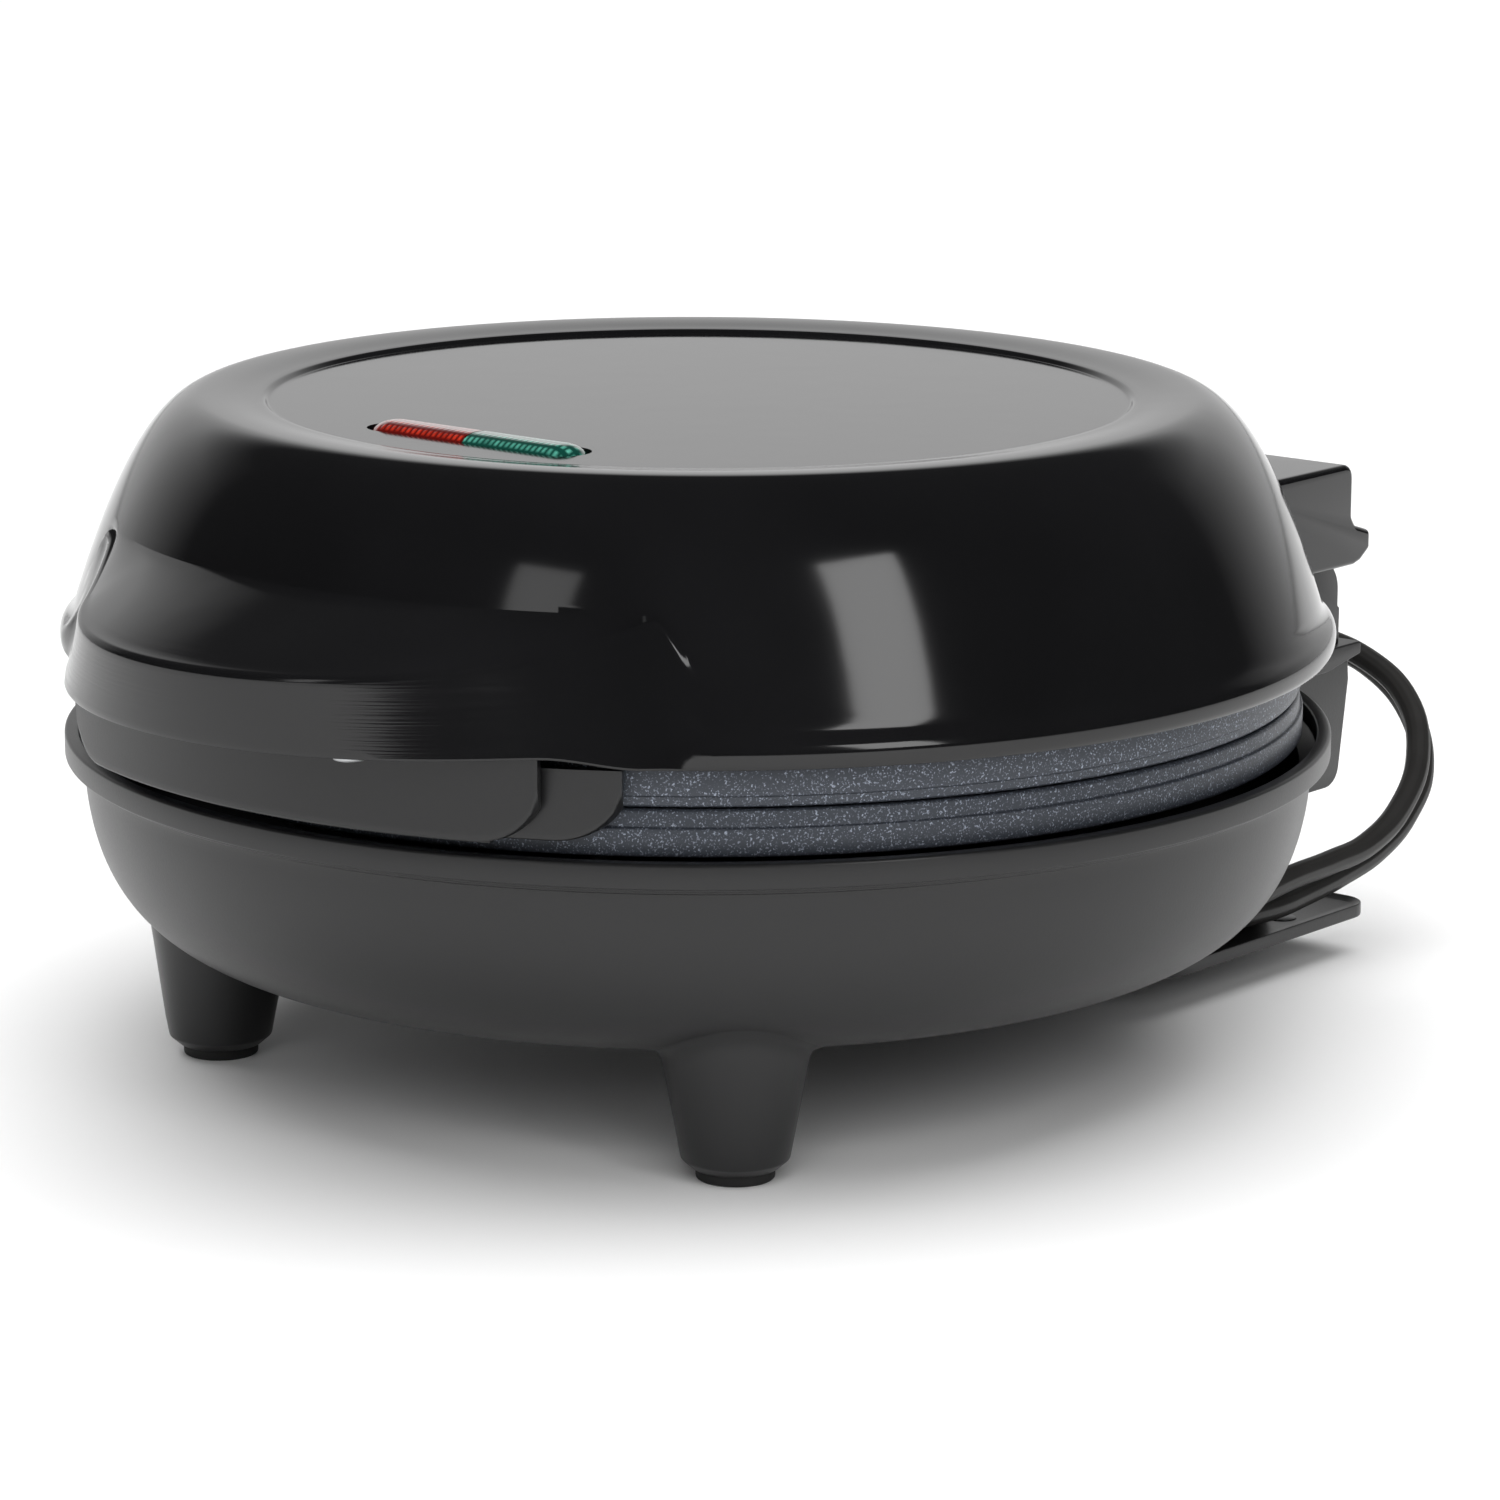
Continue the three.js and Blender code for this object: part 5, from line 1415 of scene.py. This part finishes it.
@dataclass
class MainsLead:
    """The lead: strain relief, the cord on its route, and the plug."""

    shop: Workshop
    layout: Layout
    radius: float = 2.3
    exit: tuple[float, float, float] = (-8.0, 148.3, 45.0)
    plug_start: tuple[float, float, float] = (-66.0, 150.5, 13.6)
    route: tuple[tuple[float, float, float], ...] = (
        (-8, 148.3, 45), (-8, 151.5, 45), (-6.4, 158.3, 45.3), (-2.2, 164.3, 46),
        (4, 168.4, 46.9), (18.2, 169.3, 47.1), (30.4, 168.1, 44.2), (40.6, 166, 37),
        (47.4, 160, 28.3), (50.6, 149.8, 21.5), (51.7, 138.1, 16.8), (52, 125.7, 14.5),
        (52.6, 113, 13.4), (52.9, 100.4, 12.9), (49.9, 88.1, 12.8), (41.6, 78.7, 12.8),
        (29.7, 74.4, 12.8), (17.1, 72.9, 12.8), (4.4, 72.5, 12.8), (-8.3, 72.7, 12.8),
        (-20.9, 73.6, 12.9), (-33.3, 76.3, 13.5), (-44.6, 81.8, 15.3), (-53.6, 89.9, 18.7),
        (-59.8, 99.5, 24.2), (-63, 110, 30.6), (-62.7, 120.9, 36.9), (-58.1, 131.2, 42.7),
        (-49.7, 139.2, 47.5), (-38.6, 144.3, 51.1), (-26.5, 147.2, 53.2), (-14, 149.1, 54.2),
        (-1.4, 150.9, 54.4), (11.1, 153, 53.7), (23.3, 155.8, 51.9), (35.4, 157.7, 48.5),
        (46.1, 156, 42.1), (52.8, 149.9, 33.3), (55.4, 140.4, 25.4), (55.9, 128.8, 20.5),
        (55.6, 116.2, 19.1), (55.3, 103.5, 18.5), (54.5, 90.9, 16.9), (50.4, 79.3, 14.6),
        (40.8, 71.4, 13.1), (28.6, 68, 12.8), (16, 66.7, 12.8), (3.3, 66.2, 12.8),
        (-9.4, 66.2, 12.8), (-22.1, 66.8, 12.8), (-34.5, 69.3, 13.1), (-46.4, 73.7, 13.7),
        (-57.8, 79.4, 13.4), (-68.6, 85.5, 10.9), (-78.7, 92.3, 7.4), (-87.8, 100.6, 4.5),
        (-94.9, 111, 3.1), (-98.5, 123.1, 3.3), (-97, 135.4, 5.3), (-91, 145.5, 8.6),
        (-80.5, 150.1, 12.2), (-73, 150.5, 13.4), (-66, 150.5, 13.6),
    )

    def _cord(self) -> tuple[bpy.types.Object, float]:
        """Return the cord as a curve, and its length in metres."""
        curve = bpy.data.curves.new("mains_cord", "CURVE")
        curve.dimensions = "3D"
        curve.bevel_depth = self.radius * MM
        curve.bevel_resolution = 6
        curve.use_fill_caps = True
        line = curve.splines.new("BEZIER")
        line.resolution_u = 8
        line.bezier_points.add(len(self.route) - 1)
        for knot, place in zip(line.bezier_points, self.route):
            knot.co = Vector(place) * MM
            knot.handle_left_type = "AUTO"
            knot.handle_right_type = "AUTO"
        cord = bpy.data.objects.new("mains_cord", curve)
        bpy.context.collection.objects.link(cord)
        curve.materials.append(self.shop.paints.get(Finish.CORD))
        return cord, line.calc_length()

    def _relief(self) -> bmesh.types.BMesh:
        """Return the ribbed, tapered sleeve where the cord leaves the block."""
        face = self.layout.rim_radius + 9.9
        tip = self.exit[1] - 0.3
        corners: list[tuple] = [
            (0, face - 8), (3.3, face - 8), (3.3, face + 0.2), (6.4, face + 0.2, 0.4),
            (6.4, face + 2.4, 0.8), (5.2, face + 2.6),
        ]
        ribs = 6
        pitch = (tip - face - 5) / ribs
        for i in range(ribs):
            start = face + 3.2 + i * pitch
            body = 5.1 - 1.6 * i / ribs
            groove = body - 0.8
            corners += [
                (body, start, 0.2), (body, start + pitch * 0.62, 0.2),
                (groove, start + pitch * 0.66, 0.1), (groove, start + pitch * 0.96, 0.1),
            ]
        corners += [(3.3, tip - 1.4, 0.2), (3.1, tip, 0.5), (0, tip)]
        bm = spin(rounded(corners, segments=2), 48)
        turned_to(bm, -90, "X")
        return shifted(bm, self.exit[0], 0, self.exit[2])

    def _plug(self) -> bmesh.types.BMesh:
        """Return the plug's body, lofted along X from its neck to its face."""
        sections = [
            (0.3, 9.0, 9.0, 2.0), (3.0, 9.4, 9.4, 2.0), (3.6, 8.4, 8.4, 2.0),
            (5.4, 8.6, 8.6, 2.0), (6.0, 9.8, 9.8, 2.0), (8.4, 10.2, 10.2, 2.0),
            (9.0, 9.0, 9.0, 2.0), (10.8, 9.2, 9.2, 2.0),
            (11.4, 10.8, 10.8, 2.0), (14.0, 11.6, 11.6, 2.0), (17.0, 14.5, 14.0, 2.1),
            (20.0, 20.0, 17.5, 2.3), (23.5, 26.5, 21.5, 2.5), (27.0, 30.0, 24.5, 2.7),
            (30.0, 31.2, 25.6, 2.8), (31.0, 30.4, 24.8, 2.8), (32.4, 30.8, 25.2, 2.8),
            (33.2, 32.4, 26.4, 2.8), (36.0, 33.4, 26.8, 2.9), (44.0, 35.2, 27.0, 3.0),
            (50.4, 36.6, 27.0, 3.0), (51.6, 36.2, 26.6, 3.0), (52.2, 35.0, 25.4, 3.0),
        ]
        bm = bmesh.new()
        rings = []
        count = 64
        for x, wide, high, power in sections:
            points = []
            for i in range(count):
                a = math.tau * i / count
                c, s = math.cos(a), math.sin(a)
                reach_y = wide / 2 * math.copysign(abs(c) ** (2 / power), c)
                reach_z = high / 2 * math.copysign(abs(s) ** (2 / power), s)
                points.append((x, reach_y, reach_z))
            rings.append(loop_of(bm, points, True))
        for low, high in zip(rings, rings[1:]):
            edges = [g for g in low + high if isinstance(g, bmesh.types.BMEdge)]
            bmesh.ops.bridge_loops(bm, edges=edges)
        bmesh.ops.holes_fill(bm, edges=[e for e in bm.edges if e.is_boundary], sides=0)
        bmesh.ops.recalc_face_normals(bm, faces=bm.faces)
        return shifted(bm, *self.plug_start)

    def _pin(self, side: int) -> bmesh.types.BMesh:
        """Return one plug pin with its insulating sleeve."""
        outline = rounded([
            (0, 51.8), (2.4, 51.8), (2.4, 62.5, 0.2), (2.25, 62.6), (2.25, 71.0, 1.6), (0, 71.6),
        ], segments=5)
        bm = turned_to(spin(outline, 32), 90, "Y")
        x, y, z = self.plug_start
        return shifted(bm, x, y + side * 9.5, z)

    def build(self) -> None:
        shop = self.shop
        cord, length = self._cord()
        shop.fit(cord, Finish.CORD, "base", "cord")
        relief = shop.shape(self._relief(), "cord_relief")
        shop.fit(relief, Finish.RUBBER, "base", "strain_relief")
        plug = shop.shape(self._plug(), "plug_shell", crisp=60.0)
        shop.fit(plug, Finish.CORD, "base", "plug_body")
        for name, side in (("left", -1), ("right", 1)):
            pin = shop.shape(self._pin(side), f"pin_of_plug_{name}")
            pin.data.materials.append(shop.paints.get(Finish.BRASS))
            pin.data.materials.append(shop.paints.get(Finish.CORD))
            sleeve_end = (self.plug_start[0] + 62.55) * MM
            for face in pin.data.polygons:
                face.material_index = 1 if face.center.x < sleeve_end else 0
            shop.fit(pin, Finish.BRASS, "base", f"plug_pin_{name}")
        [c * MM for c in self.exit]
        2 * self.radius * MM


# ---------------------------------------------------------------- studio


@dataclass
class Studio:
    """The floor, the light and the camera, in metres."""

    eye: tuple[float, float, float] = (0.6250, -0.7502, 0.2714)
    target: tuple[float, float, float] = (0.0069, 0.0058, 0.0523)
    lens: float = 137.3
    roll: float = 0.25

    def _floor(self) -> None:
        """Lay the pale floor."""
        bm = bmesh.new()
        bmesh.ops.create_circle(bm, cap_ends=True, segments=96, radius=9.0)
        mesh = bpy.data.meshes.new("floor")
        bm.to_mesh(mesh)
        bm.free()
        floor = bpy.data.objects.new("floor", mesh)
        bpy.context.collection.objects.link(floor)
        board = Board("pale_floor")
        cloud = board.noise(0.4, 2.0)
        paint = board.finish({
            "Base Color": board.mix(cloud, (0.86, 0.86, 0.86), (0.88, 0.88, 0.88)),
            "Roughness": cloud * 0.05 + 0.6,
            "Specular IOR Level": 0.2,
        })
        mesh.materials.append(paint)

    def _light(self, name: str, place: Sequence[float], size: tuple[float, float], power: float,
               mirrored: bool = True, aim: Sequence[float] = (0.0, 0.0, 0.07)) -> None:
        """Hang one soft box that faces a point, and that polished parts may or may not mirror."""
        lamp = bpy.data.lights.new(name, "AREA")
        lamp.shape = "RECTANGLE"
        lamp.size, lamp.size_y = size
        lamp.energy = power
        box = bpy.data.objects.new(name, lamp)
        box.location = place
        box.visible_glossy = mirrored
        box.rotation_euler = (Vector(aim) - Vector(place)).to_track_quat("-Z", "Y").to_euler()
        bpy.context.collection.objects.link(box)

    @staticmethod
    def _band(tree: bpy.types.NodeTree, place: bpy.types.Node, way: Colour, low: float,
              high: float) -> bpy.types.NodeSocket:
        """Return 0 to 1 as a view direction turns towards a given way."""
        turn = tree.nodes.new("ShaderNodeVectorMath")
        turn.operation = "DOT_PRODUCT"
        turn.inputs[1].default_value = way
        tree.links.new(place.outputs["Generated"], turn.inputs[0])
        share = tree.nodes.new("ShaderNodeMapRange")
        share.inputs["From Min"].default_value = low
        share.inputs["From Max"].default_value = high
        tree.links.new(turn.outputs["Value"], share.inputs["Value"])
        return share.outputs["Result"]

    def _sky(self) -> None:
        """Give the room a pale glow low behind the object and a darker one above."""
        world = bpy.data.worlds.new("studio")
        world.use_nodes = True
        tree = world.node_tree
        tree.nodes.clear()
        end = tree.nodes.new("ShaderNodeOutputWorld")
        glow = tree.nodes.new("ShaderNodeBackground")
        glow.inputs["Color"].default_value = (1, 1, 1, 1)
        place = tree.nodes.new("ShaderNodeTexCoord")
        behind = self._band(tree, place, (-0.64, 0.77, 0.0), 0.45, 0.85)
        low = self._band(tree, place, (0.0, 0.0, -1.0), -0.56, -0.36)
        both = tree.nodes.new("ShaderNodeMath")
        both.operation = "MULTIPLY"
        tree.links.new(behind, both.inputs[0])
        tree.links.new(low, both.inputs[1])
        level = tree.nodes.new("ShaderNodeMapRange")
        level.inputs["To Min"].default_value = 0.035
        level.inputs["To Max"].default_value = 0.8
        tree.links.new(both.outputs["Value"], level.inputs["Value"])
        tree.links.new(level.outputs["Result"], glow.inputs["Strength"])
        tree.links.new(glow.outputs[0], end.inputs["Surface"])
        bpy.context.scene.world = world

    def build(self) -> None:
        """Set up the studio."""
        self._floor()
        self._sky()
        self._light("left_box", (0.19, -1.38, 0.75), (0.3, 0.8), 1.2)
        self._light("right_box", (1.25, -0.35, 0.75), (0.35, 0.8), 4.0)
        self._light("side_fill", (0.9, -1.1, 0.9), (1.2, 0.8), 10.0, False)
        self._light("fill_box", (-0.6, 0.7, 4.0), (6.0, 6.0), 340.0, False, (-0.6, 0.7, 0.0))
        camera = bpy.data.cameras.new("camera")
        camera.lens = self.lens
        camera.sensor_width = 36.0
        camera.clip_end = 30.0
        holder = bpy.data.objects.new("camera", camera)
        holder.location = self.eye
        line = Vector(self.target) - Vector(self.eye)
        look = line.to_track_quat("-Z", "Y").to_matrix().to_4x4()
        spun = look @ Matrix.Rotation(math.radians(self.roll), 4, "Z")
        holder.rotation_euler = spun.to_euler()
        bpy.context.collection.objects.link(holder)
        bpy.context.scene.camera = holder
        bpy.context.scene.view_settings.view_transform = "Standard"


def dress_inner_parts(shop: Workshop) -> None:
    """Give the parts inside the housings their finishes."""
    shop.dress(Finish.ELEMENT, "lower_element", "upper_element")
    shop.dress(Finish.REFLECTOR, "lower_reflector", "upper_reflector")
    shop.dress(Finish.STEEL, "thermostat")
    shop.dress(Finish.CERAMIC, "terminal_block", "thermal_fuse", "lamp_holder")
    shop.dress(Finish.CORD, "inner_lead", "upper_lead")
    shop.dress(Finish.RED, "lamp_power")
    shop.dress(Finish.GREEN, "lamp_ready")


def corners(bounds: tuple) -> list[list[float]]:
    """Return a box's two corners as plain lists."""
    return [[float(c) for c in corner] for corner in bounds]


def main() -> None:
    """Build the visual model around the frame."""
    logging.basicConfig(level=logging.INFO, format="%(name)s: %(message)s")
    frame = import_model()
    shop = Workshop(frame)
    layout = Layout.from_frame(frame)
    Studio().build()
    MainsLead(shop, layout).build()
    LidShell(shop, layout).build()
    HingeCover(shop, layout).build()
    Grip(shop, layout).build()
    IndicatorLens(shop, layout).build()
    CookingPlate(shop, layout).build()
    Bowl(shop, layout).build()
    RearBracket(shop, layout).build()
    CordPost(shop, layout).build()
    Feet(shop, layout).build()
    Hardware(shop, layout).build()
    dress_inner_parts(shop)


if __name__ == "__main__":
    main()
